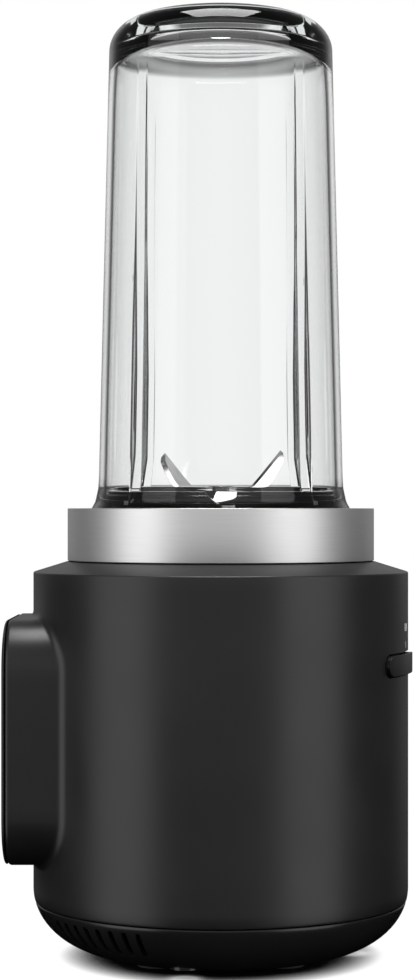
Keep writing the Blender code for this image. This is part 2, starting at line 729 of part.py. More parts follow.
def make_blade_holder():
    """Closes the jar: a dish for the blades inside, a threaded groove that takes the jar's mouth outside."""
    floor = 150.4
    profile = [
        (HOLDER_GROOVE_RADIUS, HOLDER_TOP), (HOLDER_RADIUS, HOLDER_TOP), (HOLDER_RADIUS, HOLDER_BOTTOM),
        (37.5, HOLDER_BOTTOM), (37.5, 147.8), (6.6, 147.8), (6.6, 157.5), (9.4, 157.5), (10.2, floor),
        (34.5, floor), (37.0, 152.6), (37.5, HOLDER_RIM_TOP), (HOLDER_RIM_RADIUS, HOLDER_RIM_TOP),
        (HOLDER_RIM_RADIUS, HOLDER_GROOVE_FLOOR), (HOLDER_GROOVE_RADIUS, HOLDER_GROOVE_FLOOR),
    ]
    holder = turned("blade_holder", profile, FINE, "gloss_black")
    join(holder, *thread_ridges("holder_thread", HOLDER_THREAD_RADIUS, HOLDER_GROOVE_RADIUS + 0.6,
                                JAR_THREAD_START + THREAD_RISE_TO_HOLDER))
    for i, angle in enumerate(DOG_ANGLES, 1):
        outline = sector(44.6, 50, angle - DOG_ARC / 2 - 1, angle + DOG_ARC / 2 + 1, 2)
        cut(holder, extruded(f"dog_pocket_{i}", outline, 3.8, upright(HOLDER_BOTTOM)))
    for i in range(NOTCH_COUNT):
        cut(holder, rim_notch(i))
    return holder


def rim_notch(index):
    """A drain notch in the dish's rim: one side upright, the other a ramp."""
    outline = [(-7.6, HOLDER_RIM_TOP + 2), (0.6, 156.6), (4.4, 156.6), (5.4, HOLDER_RIM_TOP + 2)]
    turn = Matrix.Rotation(radians(-90 + 90 * index), 4, "Z")
    return extruded(f"rim_notch_{index + 1}", outline, 8, turn @ facing_front(38.7))


def thread_ridges(prefix, inner, outer, start_height):
    """Short right-hand ridges, equally spaced, each swept along the thread's helix."""
    return [
        thread_ridge(f"{prefix}_{i + 1}", inner, outer, start_height, 360 / THREAD_STARTS * i)
        for i in range(THREAD_STARTS)
    ]


def thread_ridge(name, inner, outer, start_height, start_angle):
    """One ridge: a rectangular section, thinner at its free side, lofted along the helix."""
    steps = 6
    bm = bmesh.new()
    rings = []
    for i in range(steps + 1):
        angle = THREAD_ARC * i / steps
        middle = start_height + THREAD_LEAD * angle / 360
        half = THREAD_THICKNESS / 2
        section = [(inner, -half), (outer, -half), (outer, half), (inner, half)]
        ring = []
        for radius, dz in section:
            x, y = polar(radius, start_angle + angle)
            ring.append(bm.verts.new((x * MM, y * MM, (middle + dz) * MM)))
        rings.append(ring)
    for a, b in zip(rings, rings[1:]):
        for k in range(4):
            bm.faces.new((a[k], a[(k + 1) % 4], b[(k + 1) % 4], b[k]))
    bm.faces.new(rings[0])
    bm.faces.new(rings[-1][::-1])
    return mesh_object(name, bm)


def make_shaft_parts():
    for name, low, high in (("shaft_bearing_lower", 148.0, 152.4), ("shaft_bearing_upper", 153.0, 157.2)):
        ring = [(6.3, high), (6.3, low), (BEARING_BORE, low), (BEARING_BORE, high)]
        turned(name, ring, 16, "bronze")
    seal = [(5.0, 159.6), (8.6, 158.6), (8.6, 157.8), (BEARING_BORE, 157.8), (BEARING_BORE, 159.6)]
    turned("shaft_seal", seal, COARSE, "rubber")


def make_cutter():
    head = UPPER_BLADE_HEIGHT + BLADE_THICKNESS + GAP
    profile = [
        (0, head + 0.9), (3.9, head + 0.9), (4.6, head + 0.3), (4.6, head), (SHAFT_RADIUS, head),
        (SHAFT_RADIUS, 142.8), (0, 142.8),
    ]
    turned("blade_shaft", profile, 16, "steel")
    make_blade("blade_upper", UPPER_BLADE_HEIGHT, UPPER_BLADE_ANGLE, 9.0, 45.0, 20.0)
    make_blade("blade_lower", LOWER_BLADE_HEIGHT, LOWER_BLADE_ANGLE, 10.0, -22.0, 17.0)
    bore = SHAFT_RADIUS + GAP
    hub = [(bore, 147.2), (5.6, 147.2), (5.6, 142.6), (bore, 142.6)]
    driven = turned("driven_coupling", hub, COARSE, "dark_plastic")
    join(driven, *coupling_lugs("driven_lug", 4.6, 11.4, 142.2, 146.9, 180 / COUPLING_LUGS))


def make_blade(name, height, direction, bend_radius, bend, wing_length):
    """Two stamped wings on a flat middle, each bent up or down and drawn to a swept point.

    Sections run along one wing, mirrored through the axis for the other.
    """
    stations = [(0.0, 7.0, 0.0), (5.0, 6.6, 0.0), (bend_radius, 5.8, 0.0)]
    for share, half_width, sweep in ((0.18, 5.6, 0.2), (0.5, 4.4, 0.6), (0.8, 2.6, 1.4), (1.0, 0.8, 2.4)):
        stations.append((bend_radius + wing_length * share, half_width, sweep))
    wing = []
    for distance, half_width, sweep in stations:
        along = max(0.0, distance - bend_radius)
        slope = radians(bend) * min(1.0, along / (wing_length * 0.18))
        x = min(distance, bend_radius) + along * cos(slope)
        z = along * sin(slope)
        normal = (-sin(slope), cos(slope))
        wing.append((x, z, half_width, sweep, normal))
    bm = bmesh.new()
    rings = []
    for side in (-1, 1):
        ordered = wing[::-1] if side < 0 else wing[1:]
        for x, z, half_width, sweep, (nx, nz) in ordered:
            ring = []
            for y, layer in ((-half_width, 0), (half_width, 0), (half_width, 1), (-half_width, 1)):
                px = side * (x + nx * BLADE_THICKNESS * layer)
                pz = z + nz * BLADE_THICKNESS * layer
                ring.append(bm.verts.new((px * MM, (y + side * sweep) * MM, (height + pz) * MM)))
            rings.append(ring)
    for a, b in zip(rings, rings[1:]):
        for k in range(4):
            bm.faces.new((a[k], a[(k + 1) % 4], b[(k + 1) % 4], b[k]))
    bm.faces.new(rings[0])
    bm.faces.new(rings[-1][::-1])
    bmesh.ops.rotate(bm, verts=bm.verts, cent=(0, 0, 0), matrix=Matrix.Rotation(radians(direction), 3, "Z"))
    blade = mesh_object(name, bm, "steel")
    return cut(blade, rod(f"{name}_bore", SHAFT_RADIUS + GAP, 150, 175, 16))


# Jar ----------------------------------------------------------------------------------------------------------
RIB_ANGLES = (47.0, 133.0, 227.0, 313.0)
RIB_WIDTH = 4.4
RIB_FACE_RADIUS = 37.2
RIB_LOW = 163.2
RIB_HIGH = 296.0


def jar_outer_radius(height):
    share = (height - JAR_FOOT_TOP) / (JAR_SHOULDER - JAR_FOOT_TOP)
    return JAR_LOW_RADIUS + (JAR_HIGH_RADIUS - JAR_LOW_RADIUS) * share


def make_jar():
    top = OVERALL_HEIGHT
    shoulder = (JAR_HIGH_RADIUS - 14.4, JAR_SHOULDER)
    outer = [(0, top - 1.8), (JAR_RECESS_RADIUS, top - 1.8), (JAR_RECESS_RADIUS + 1.2, top)]
    outer += arc(shoulder, (14.4, top - JAR_SHOULDER), 90, 0, 6)
    outer += [(jar_outer_radius(JAR_FOOT_TOP), JAR_FOOT_TOP), (43.6, 161.2), (44.3, 159.0), (45.2, 157.6)]
    outer += [(JAR_FLANGE_RADIUS, 156.9), (JAR_FLANGE_RADIUS, 155.6), (JAR_MOUTH_RADIUS, 154.9)]
    outer += [(JAR_MOUTH_RADIUS, JAR_MOUTH)]
    low_bore = JAR_LOW_RADIUS - JAR_WALL
    high_bore = JAR_HIGH_RADIUS - JAR_WALL
    corner = (high_bore - 11, JAR_CEILING - 10)
    inner = [(JAR_MOUTH_BORE, JAR_MOUTH), (JAR_MOUTH_BORE, 157.5), (low_bore, JAR_FOOT_TOP)]
    inner += arc(corner, (11, 10), 0, 90, 4) + [(0, JAR_CEILING)]
    jar = turned("jar", outer + inner, FINE, "clear")
    join(jar, *thread_ridges("jar_thread", JAR_MOUTH_RADIUS - 0.6, JAR_THREAD_RADIUS, JAR_THREAD_START))
    join(jar, *[jar_rib(f"jar_rib_{i}", angle) for i, angle in enumerate(RIB_ANGLES, 1)])
    return jar


def jar_rib(name, angle):
    """A rib that stands out further as the wall widens towards the mouth, and dies out near the top."""
    bm = bmesh.new()
    bmesh.ops.create_cube(bm, size=1.0)
    for vertex in bm.verts:
        high, outside = vertex.co.z > 0, vertex.co.x > 0
        z = RIB_HIGH if high else RIB_LOW
        face = RIB_FACE_RADIUS + (0.5 if high else 0.0)
        x = jar_outer_radius(z) - JAR_WALL / 2 if outside else face
        taper = 1.0 if outside else 0.7
        vertex.co = (x * MM, vertex.co.y * RIB_WIDTH * taper * MM, z * MM)
    bmesh.ops.rotate(bm, verts=bm.verts, cent=(0, 0, 0), matrix=Matrix.Rotation(radians(angle), 3, "Z"))
    return mesh_object(name, bm)


def make_jar_gasket():
    low, high = HOLDER_GROOVE_FLOOR + GAP, JAR_MOUTH - GAP
    profile = [
        (40.6, high), (44.4, high), (44.4, low), (40.6, low),
    ]
    return turned("jar_gasket", profile, MEDIUM, "rubber")


# Switch and electronics ---------------------------------------------------------------------------------------
def make_switch():
    """A knob that slides round the front in its slot, on a carrier that keeps the slot covered."""
    start, end = SWITCH_KNOB_START, SWITCH_KNOB_START + SWITCH_KNOB_ARC
    knob = curved_bar("switch_knob", 62.8, SWITCH_KNOB_RADIUS, start, end, 3.5, "soft_black")
    bevelled(knob, 0.9, 2, 60)
    start, end = SWITCH_CARRIER_START, SWITCH_CARRIER_START + SWITCH_CARRIER_ARC
    outline = sector(60.9, 62.5, start, end, 16)
    extruded("switch_carrier", outline, 9.8, upright(SWITCH_HEIGHT), "dark_plastic")


def make_electronics():
    block("circuit_board", (45.6, -24, 61), (47.2, 24, 119), "board_green")
    block("micro_switch", (47.6, -6, 98.4), (59.8, 6, 106.4), "gloss_black")
    low = (-BAY_DEPTH_END - 1.8, -9.0, 45.0)
    block("terminal_block", low, (-BAY_DEPTH_END + 8, 9.0, 53.0), "nylon")


def smooth_route(points, per_span):
    """Catmull-Rom curve through the route's own points."""
    ends = [points[0], *points, points[-1]]
    route = []
    for p0, p1, p2, p3 in zip(ends, ends[1:], ends[2:], ends[3:]):
        for i in range(per_span):
            t = i / per_span
            route.append(tuple(
                0.5 * (2 * b + (c - a) * t + (2 * a - 5 * b + 4 * c - d) * t**2 + (3 * b - a - 3 * c + d) * t**3)
                for a, b, c, d in zip(p0, p1, p2, p3)
            ))
    return route + [points[-1]]


def wire(name, points, material):
    curve = bpy.data.curves.new(name, "CURVE")
    curve.dimensions = "3D"
    curve.bevel_depth = 0.9 * MM
    curve.bevel_resolution = 1
    curve.use_fill_caps = True
    route = smooth_route(points, 4)
    spline = curve.splines.new("POLY")
    spline.points.add(len(route) - 1)
    for point, (x, y, z) in zip(spline.points, route):
        point.co = (x * MM, y * MM, z * MM, 1)
    return place(bpy.data.objects.new(name, curve), material)


def make_wires():
    """The motor's two leads and the battery's two, along the floor of the base under the fan."""
    for sign, name, material in ((-1, "red", "wire_red"), (1, "black", "wire_black")):
        wire(
            f"motor_wire_{name}",
            [(44.2, 12 * sign, 68), (36, 12 * sign, 62), (27, 10 * sign, 54), (14, 6 * sign, 53)],
            material,
        )
        wire(
            f"battery_wire_{name}",
            [
                (-40, 5 * sign, 49), (-34, 7 * sign, 38), (-14, 12 * sign, 31), (14, 12 * sign, 31),
                (34, 10 * sign, 40), (41, 6 * sign, 54), (44.4, 5 * sign, 66),
            ],
            material,
        )


# Battery ------------------------------------------------------------------------------------------------------
def make_battery():
    """A pack of three cells in a tray, closed by a cover that overlaps the pod's rim."""
    fit = POD_WALL + 0.7
    low = (-POD_HALF_WIDTH + fit, POD_BOTTOM + fit)
    high = (POD_HALF_WIDTH - fit, POD_TOP - fit)
    near, far = BAY_DEPTH_END + 1.2, POD_BACK
    tray = extruded(
        "battery_case", rounded_rectangle(low, high, POD_CORNER - fit, 5), far - near,
        facing_back((near + far) / 2), "dark_plastic",
    )
    wall = 1.6
    low, high = (low[0] + wall, low[1] + wall), (high[0] - wall, high[1] - wall)
    hollow = extruded(
        "tray_hollow", rounded_rectangle(low, high, POD_CORNER - fit - wall, 5), far + 5 - near - wall,
        facing_back((near + wall + far + 5) / 2),
    )
    window = block("tray_window", (-near - 5, -9.8, 44.2), (-near + 5, 9.8, 53.8))
    cut(tray, hollow, window)
    for i in range(3):
        rod(
            f"battery_cell_{i + 1}", CELL_RADIUS, CELL_LOW, CELL_LOW + CELL_LENGTH, 20, "cell_wrap",
            at=(-CELL_SETBACK, CELL_SPACING * (i - 1)),
        )
    make_battery_cover()


BUTTON_HEIGHT = 102.0
BUTTON_HALF_WIDTH = 11.0
BUTTON_HALF_HEIGHT = 4.0


def make_battery_cover():
    low = (-POD_HALF_WIDTH + 0.3, POD_BOTTOM + 0.3)
    high = (POD_HALF_WIDTH - 0.3, POD_TOP - 0.3)
    near = POD_BACK + GAP
    cover = extruded(
        "battery_cover", rounded_rectangle(low, high, POD_CORNER - 0.3, 6), BATTERY_BACK - near,
        facing_back((near + BATTERY_BACK) / 2), "soft_black",
    )
    bevelled(cover, 0.8, 2, 60)
    cut(cover, button_form("button_hole", GAP, near - 5, BATTERY_BACK + 5))
    button = button_form("release_button", 0, POD_BACK - 1.2, BATTERY_BACK - 0.1, "dark_plastic")
    join(button, button_form("button_flange", 1.3, POD_BACK - 1.2, POD_BACK))


def button_form(name, margin, near, far, material=None):
    wide, high = BUTTON_HALF_WIDTH + margin, BUTTON_HALF_HEIGHT + margin
    outline = rounded_rectangle(
        (-wide, BUTTON_HEIGHT - high), (wide, BUTTON_HEIGHT + high), high - 0.01, 4
    )
    return extruded(name, outline, far - near, facing_back((near + far) / 2), material)


# Bodies -------------------------------------------------------------------------------------------------------
MOVING = {  # body: pieces, each with its parent empty on its joint's axis
    "lock": ("lock_ring",),
    "holder": ("blade_holder", "shaft_bearing_lower", "shaft_bearing_upper", "shaft_seal"),
    "cutter": ("blade_shaft", "blade_upper", "blade_lower", "driven_coupling"),
    "seal": ("jar_gasket",),
    "vessel": ("jar",),
    "rotor": ("motor_shaft", "armature", "commutator", "cooling_fan", "drive_coupling"),
    "switch": ("switch_knob", "switch_carrier"),
    "battery": (
        "battery_case", "battery_cover", "battery_cell_1", "battery_cell_2", "battery_cell_3",
    ),
    "latch": ("release_button",),
    "interlock": ("interlock_pin",),
}
BODY_PARENTS = {
    "holder": "lock", "cutter": "holder", "seal": "holder", "vessel": "seal", "latch": "battery",
}


def group_moving_pieces():
    """Each moving body hangs from an empty at the origin, which lies on every turning axis here."""
    empties = {}
    for body, names in MOVING.items():
        empty = bpy.data.objects.new(f"{body}_axis", None)
        PIECES.objects.link(empty)
        empties[body] = empty
        for name in names:
            bpy.data.objects[name].parent = empty
    for body, parent in BODY_PARENTS.items():
        empties[body].parent = empties[parent]


clear_scene()
PIECES = new_collection("personal_blender")
CUTTERS = new_collection("cutters")
make_housing()
make_lenses()
make_bottom_cover()
make_feet()
make_cover_screws()
make_collar_band()
make_top_deck()
make_drip_seal()
make_lock_ring()
make_interlock()
make_motor()
make_rotor()
make_blade_holder()
make_shaft_parts()
make_cutter()
make_jar()
make_jar_gasket()
make_switch()
make_electronics()
make_wires()
make_battery()
group_moving_pieces()
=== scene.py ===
"""Looks for the personal blender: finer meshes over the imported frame, materials, floor, light and camera.

Lengths are in millimetres times MM. +Z is up, the origin is on the motor axis at the table, +X is the front.
"""

import json

from math import atan2, cos, hypot, pi, radians, sin, sqrt, tan

import bmesh
import bpy
from mathutils import Matrix, Vector

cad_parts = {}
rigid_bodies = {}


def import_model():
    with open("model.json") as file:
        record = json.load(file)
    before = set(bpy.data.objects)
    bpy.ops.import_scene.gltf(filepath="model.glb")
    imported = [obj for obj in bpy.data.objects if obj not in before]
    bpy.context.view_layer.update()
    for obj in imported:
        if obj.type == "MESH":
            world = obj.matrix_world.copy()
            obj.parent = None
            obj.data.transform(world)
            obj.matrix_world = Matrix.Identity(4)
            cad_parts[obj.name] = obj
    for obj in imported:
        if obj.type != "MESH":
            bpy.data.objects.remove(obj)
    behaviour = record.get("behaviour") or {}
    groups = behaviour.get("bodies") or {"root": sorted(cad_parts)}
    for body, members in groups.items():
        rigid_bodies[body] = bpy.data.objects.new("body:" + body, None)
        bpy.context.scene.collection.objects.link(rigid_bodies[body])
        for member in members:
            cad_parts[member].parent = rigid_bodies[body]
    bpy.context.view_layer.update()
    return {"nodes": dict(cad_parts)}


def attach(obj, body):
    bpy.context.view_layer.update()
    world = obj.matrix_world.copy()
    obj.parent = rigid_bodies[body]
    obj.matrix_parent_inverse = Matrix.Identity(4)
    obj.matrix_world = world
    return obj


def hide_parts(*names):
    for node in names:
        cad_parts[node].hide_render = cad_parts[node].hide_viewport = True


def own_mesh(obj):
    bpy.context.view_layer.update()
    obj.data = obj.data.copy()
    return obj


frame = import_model()

MM = 0.001
ROUND = 192  # segments of a large turned piece
SMALL = 48

BODY_RADIUS = 66.0
BODY_WALL = 2.6
BOWL_TOP = 24.5
BOWL_BOTTOM = 2.0
BOWL_FLAT_RADIUS = 38.0
SEAM_HEIGHT = 19.8
SHOULDER_EDGE = 135.0
COLLAR_RADIUS = 54.0
COLLAR_BOTTOM = 138.8
COLLAR_TOP = 157.2

POD_HALF_WIDTH = 39.0
POD_BOTTOM = 34.7
POD_TOP = 119.1
POD_BACK = 72.9
POD_CORNER = 17.0
POD_WALL = 2.7
BAY_END = 49.0
BATTERY_BACK = 74.6

SWITCH_HEIGHT = 103.5
LENS_ANGLES = (-14.5, 0.0, 14.5)
LENS_HEIGHT = 109.9
MARK_HEIGHT = 116.0
BUTTON_HEIGHT = 102.0  # the battery's release button
INTERLOCK_PLACE = 41.5  # how far the jar-present pin is to +Y
MOTOR_POST_CIRCLE = 33.0
MOTOR_POST_ANGLES = (30.0, 150.0, 270.0)
COVER_SCREW_CIRCLE = 46.0
COVER_SCREW_ANGLES = (0.0, 105.0, 255.0)
FOOT_CIRCLE = 31.5
JAR_TOP = 330.0


# Mesh helpers -------------------------------------------------------------------------------------------
def polar(radius, angle):
    return radius * cos(radians(angle)), radius * sin(radians(angle))


def arc(centre, radius, start, end, count):
    rx, ry = radius if isinstance(radius, tuple) else (radius, radius)
    steps = [start + (end - start) * i / (count - 1) for i in range(count)]
    return [(centre[0] + rx * cos(radians(a)), centre[1] + ry * sin(radians(a))) for a in steps]


def rounded_path(points, closed=True, steps=5):
    """A polyline with its corners rounded. Each point is (x, y) or (x, y, radius)."""
    flat = [(p[0], p[1], p[2] if len(p) > 2 else 0.0) for p in points]
    count = len(flat)
    path = []
    for i, (x, y, radius) in enumerate(flat):
        inner = closed or 0 < i < count - 1
        if radius <= 0 or not inner:
            path.append((x, y))
            continue
        here = Vector((x, y))
        back = Vector(flat[i - 1][:2]) - here
        ahead = Vector(flat[(i + 1) % count][:2]) - here
        turn = back.angle(ahead)
        reach = min(radius / tan(turn / 2), 0.49 * back.length, 0.49 * ahead.length)
        true = reach * tan(turn / 2)
        bisector = (back.normalized() + ahead.normalized()).normalized()
        centre = here + bisector * hypot(reach, true)
        first = here + back.normalized() * reach - centre
        last = here + ahead.normalized() * reach - centre
        sweep = first.angle_signed(last)
        for k in range(steps + 1):
            spoke = first.copy()
            spoke.rotate(Matrix.Rotation(-sweep * k / steps, 2))
            path.append((centre.x + spoke.x, centre.y + spoke.y))
    return path


def object_from(name, bm, sharp=32.0):
    bmesh.ops.remove_doubles(bm, verts=bm.verts, dist=1e-7)
    bmesh.ops.recalc_face_normals(bm, faces=bm.faces)
    mesh = bpy.data.meshes.new(name)
    bm.to_mesh(mesh)
    bm.free()
    mesh.shade_smooth()
    mesh.set_sharp_from_angle(angle=radians(sharp))
    obj = bpy.data.objects.new(name, mesh)
    bpy.context.scene.collection.objects.link(obj)
    return obj


def revolve(name, profile, segments=ROUND, sharp=32.0):
    """A closed profile of (radius, height) points turned about Z."""
    bm = bmesh.new()
    rings = []
    for r, z in profile:
        if r < 1e-6:
            rings.append([bm.verts.new((0, 0, z * MM))])
            continue
        rings.append([
            bm.verts.new((r * cos(2 * pi * k / segments) * MM, r * sin(2 * pi * k / segments) * MM, z * MM))
            for k in range(segments)
        ])
    for a, b in zip(rings, rings[1:] + rings[:1]):
        join_rings(bm, a, b)
    return object_from(name, bm, sharp)


def join_rings(bm, a, b):
    count = max(len(a), len(b))
    if count == 1:
        return
    for k in range(count):
        corners = []
        for vert in (a[k % len(a)], a[(k + 1) % len(a)], b[(k + 1) % len(b)], b[k % len(b)]):
            if vert not in corners:
                corners.append(vert)
        if len(corners) > 2:
            bm.faces.new(corners)


def loft(name, sections, capped=True, sharp=32.0):
    """Rings of world points in millimetres, all with the same number of points, joined in order."""
    bm = bmesh.new()
    rings = [[bm.verts.new([c * MM for c in point]) for point in section] for section in sections]
    for a, b in zip(rings, rings[1:]):
        join_rings(bm, a, b)
    if capped:
        bm.faces.new(rings[0])
        bm.faces.new(rings[-1][::-1])
    return object_from(name, bm, sharp)


def prism(name, outline, low, high, matrix=None, sharp=32.0, segments_between=1):
    """A flat outline, in its own XY plane, between two heights on its own Z."""
    matrix = matrix or Matrix.Identity(4)
    sections = []
    for i in range(segments_between + 1):
        z = low + (high - low) * i / segments_between
        sections.append([tuple(matrix @ Vector((x, y, z))) for x, y in outline])
    return loft(name, sections, True, sharp)


BACKWARD = Matrix(((0, 0, -1), (1, 0, 0), (0, 1, 0))).to_4x4()  # outline x, y, depth to world Y, Z, -X


def apply_modifiers(obj):
    graph = bpy.context.evaluated_depsgraph_get()
    graph.update()
    mesh = bpy.data.meshes.new_from_object(obj.evaluated_get(graph))
    obj.modifiers.clear()
    obj.data = mesh
    return obj


def combine(obj, operation, *others):
    """Boolean with each other object in turn, which is then removed."""
    for other in others:
        modifier = obj.modifiers.new("form", "BOOLEAN")
        modifier.operation = operation
        modifier.solver = "EXACT"
        modifier.object = other
        apply_modifiers(obj)
        bpy.data.objects.remove(other, do_unlink=True)
    return obj


def smooth_shading(obj, sharp=32.0):
    obj.data.shade_smooth()
    obj.data.set_sharp_from_angle(angle=radians(sharp))
    return obj


def piece(obj, body, material, slot, *nodes):
    obj.data.materials.clear()
    obj.data.materials.append(material)
    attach(obj, body)
    if nodes:
        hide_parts(*nodes)
    return obj


# Materials ----------------------------------------------------------------------------------------------
class Nodes:
    """A small wrapper for building a material's node tree."""

    def __init__(self, name):
        self.material = bpy.data.materials.new(name)
        self.material.use_nodes = True
        self.tree = self.material.node_tree
        self.shader = self.tree.nodes["Principled BSDF"]
        self.output = self.tree.nodes["Material Output"]

    def add(self, kind, **settings):
        node = self.tree.nodes.new("ShaderNode" + kind)
        for key, value in settings.items():
            setattr(node, key, value)
        return node

    def link(self, out, into):
        self.tree.links.new(out, into)

    def set(self, **values):
        for key, value in values.items():
            self.shader.inputs[key.replace("_", " ")].default_value = value

    def position(self):
        return self.add("TexCoord").outputs["Object"]

    def scaled(self, vector, scale):
        node = self.add("Mapping")
        node.inputs["Scale"].default_value = scale
        self.link(vector, node.inputs["Vector"])
        return node.outputs["Vector"]

    def noise(self, vector, scale, detail=3.0, roughness=0.5):
        node = self.add("TexNoise")
        node.inputs["Scale"].default_value = scale
        node.inputs["Detail"].default_value = detail
        node.inputs["Roughness"].default_value = roughness
        self.link(vector, node.inputs["Vector"])
        return node.outputs["Fac"]

    def ranged(self, value, low, high, from_low=0.3, from_high=0.7):
        node = self.add("MapRange")
        node.inputs["From Min"].default_value = from_low
        node.inputs["From Max"].default_value = from_high
        node.inputs["To Min"].default_value = low
        node.inputs["To Max"].default_value = high
        self.link(value, node.inputs["Value"])
        return node.outputs["Result"]

    def tinted(self, value, dark, light):
        node = self.add("Mix", data_type="RGBA")
        node.inputs["A"].default_value = (*dark, 1)
        node.inputs["B"].default_value = (*light, 1)
        self.link(value, node.inputs["Factor"])
        return node.outputs["Result"]

    def bump(self, height, strength, distance, normal=None):
        node = self.add("Bump")
        node.inputs["Strength"].default_value = strength
        node.inputs["Distance"].default_value = distance
        self.link(height, node.inputs["Height"])
        if normal is not None:
            self.link(normal, node.inputs["Normal"])
        return node.outputs["Normal"]


def moulded(name, dark, light, rough, grain, strength, specular=0.5):
    """Moulded plastic or rubber: a fine spark-eroded grain, with slow changes of gloss and tone."""
    n = Nodes(name)
    where = n.position()
    slow = n.noise(where, 38.0, 2.0)
    fine = n.noise(where, grain, 2.0, 0.6)
    n.link(n.tinted(n.ranged(slow, 0.0, 1.0), dark, light), n.shader.inputs["Base Color"])
    n.link(n.ranged(slow, rough - 0.03, rough + 0.03), n.shader.inputs["Roughness"])
    n.link(n.bump(fine, strength, 0.00004), n.shader.inputs["Normal"])
    n.set(Specular_IOR_Level=specular)
    return n.material


def metal(name, dark, light, rough, stretch, anisotropy=0.0, strength=0.1):
    """Worked metal: streaks along one direction of the part."""
    n = Nodes(name)
    where = n.scaled(n.position(), stretch)
    streaks = n.noise(where, 1.0, 4.0, 0.7)
    n.link(n.tinted(n.ranged(streaks, 0.0, 1.0), dark, light), n.shader.inputs["Base Color"])
    n.link(n.ranged(streaks, rough - 0.05, rough + 0.05), n.shader.inputs["Roughness"])
    n.link(n.bump(streaks, strength, 0.00003), n.shader.inputs["Normal"])
    n.set(Metallic=1.0, Anisotropic=anisotropy)
    return n.material


def brushed_round(name, dark, light, rough, anisotropy):
    """Metal brushed round the Z axis: the streaks follow the circumference."""
    n = Nodes(name)
    split = n.add("SeparateXYZ")
    n.link(n.position(), split.inputs["Vector"])
    angle = n.add("Math", operation="ARCTAN2")
    n.link(split.outputs["Y"], angle.inputs[0])
    n.link(split.outputs["X"], angle.inputs[1])
    flat = n.add("CombineXYZ")
    n.link(angle.outputs["Value"], flat.inputs["X"])
    n.link(split.outputs["Z"], flat.inputs["Y"])
    streaks = n.noise(n.scaled(flat.outputs["Vector"], (3.0, 9000.0, 1.0)), 1.0, 4.0, 0.75)
    patches = n.noise(n.position(), 30.0, 2.0)
    n.link(n.tinted(n.ranged(streaks, 0.0, 1.0), dark, light), n.shader.inputs["Base Color"])
    n.link(n.ranged(patches, rough - 0.02, rough + 0.02), n.shader.inputs["Roughness"])
    n.link(n.bump(streaks, 0.12, 0.00002), n.shader.inputs["Normal"])
    tangent = n.add("Tangent", direction_type="RADIAL", axis="Z")
    n.link(tangent.outputs["Tangent"], n.shader.inputs["Tangent"])
    n.set(Metallic=1.0, Anisotropic=anisotropy)
    return n.material


def clear_plastic(name):
    """Clear moulded jar: slight moulding ripple and handling haze, darker where it is thick."""
    n = Nodes(name)
    where = n.position()
    ripple = n.noise(n.scaled(where, (60.0, 60.0, 9.0)), 1.0, 1.0)
    haze = n.noise(where, 55.0, 3.0)
    n.link(n.ranged(haze, 0.0, 0.012), n.shader.inputs["Roughness"])
    n.link(n.bump(ripple, 0.03, 0.0004), n.shader.inputs["Normal"])
    n.set(Transmission_Weight=1.0, IOR=1.5, Base_Color=(0.985, 0.99, 0.99, 1))
    absorb = n.add("VolumeAbsorption")
    absorb.inputs["Color"].default_value = (0.90, 0.92, 0.92, 1)
    absorb.inputs["Density"].default_value = 30.0
    n.link(absorb.outputs["Volume"], n.output.inputs["Volume"])
    return n.material


SOFT_BLACK = moulded("soft_black_plastic", (0.0085,) * 3, (0.0105,) * 3, 0.36, 2600.0, 0.22)
DARK_PLASTIC = moulded("dark_plastic", (0.009,) * 3, (0.011,) * 3, 0.24, 1800.0, 0.08)
GLOSS_BLACK = moulded("gloss_black_plastic", (0.004,) * 3, (0.006,) * 3, 0.10, 900.0, 0.04)
RUBBER = moulded("rubber", (0.010,) * 3, (0.016,) * 3, 0.70, 1500.0, 0.30)
NYLON = moulded("natural_nylon", (0.50, 0.50, 0.46), (0.58, 0.58, 0.54), 0.45, 1200.0, 0.15)
MARK_WHITE = moulded("printed_white", (0.66,) * 3, (0.74,) * 3, 0.40, 1500.0, 0.10)
LENS = moulded("indicator_lens", (0.10, 0.11, 0.12), (0.14, 0.15, 0.16), 0.20, 900.0, 0.05)
BOARD = moulded("circuit_board", (0.010, 0.10, 0.04), (0.02, 0.14, 0.06), 0.35, 1400.0, 0.20)
CELL_WRAP = moulded("cell_sleeve", (0.03, 0.16, 0.36), (0.05, 0.20, 0.44), 0.32, 800.0, 0.08)
RED_SLEEVE = moulded("red_sleeve", (0.42, 0.01, 0.01), (0.52, 0.02, 0.02), 0.38, 1500.0, 0.10)
BLACK_SLEEVE = moulded("black_sleeve", (0.008,) * 3, (0.014,) * 3, 0.38, 1500.0, 0.10)
MAGNET = moulded("sintered_magnet", (0.06,) * 3, (0.09,) * 3, 0.60, 1400.0, 0.35)
BRUSHED_BAND = brushed_round("brushed_aluminium", (0.68,) * 3, (0.78,) * 3, 0.36, 0.65)
BLADE_STEEL = metal("blade_steel", (0.58,) * 3, (0.70,) * 3, 0.16, (900.0, 900.0, 120.0), 0.0)
TURNED_STEEL = brushed_round("turned_steel", (0.50,) * 3, (0.62,) * 3, 0.26, 0.3)
PLATED_STEEL = metal("plated_steel", (0.48,) * 3, (0.60,) * 3, 0.30, (300.0, 300.0, 300.0))
BRONZE = metal("sintered_bronze", (0.42, 0.28, 0.13), (0.52, 0.36, 0.18), 0.38, (900.0, 900.0, 900.0))
LAMINATION = metal("lamination_stack", (0.22,) * 3, (0.38,) * 3, 0.42, (20.0, 20.0, 4000.0), 0.0, 0.5)
COPPER = metal("copper", (0.62, 0.28, 0.14), (0.75, 0.38, 0.22), 0.30, (700.0, 700.0, 90.0))
CLEAR = clear_plastic("clear_jar")


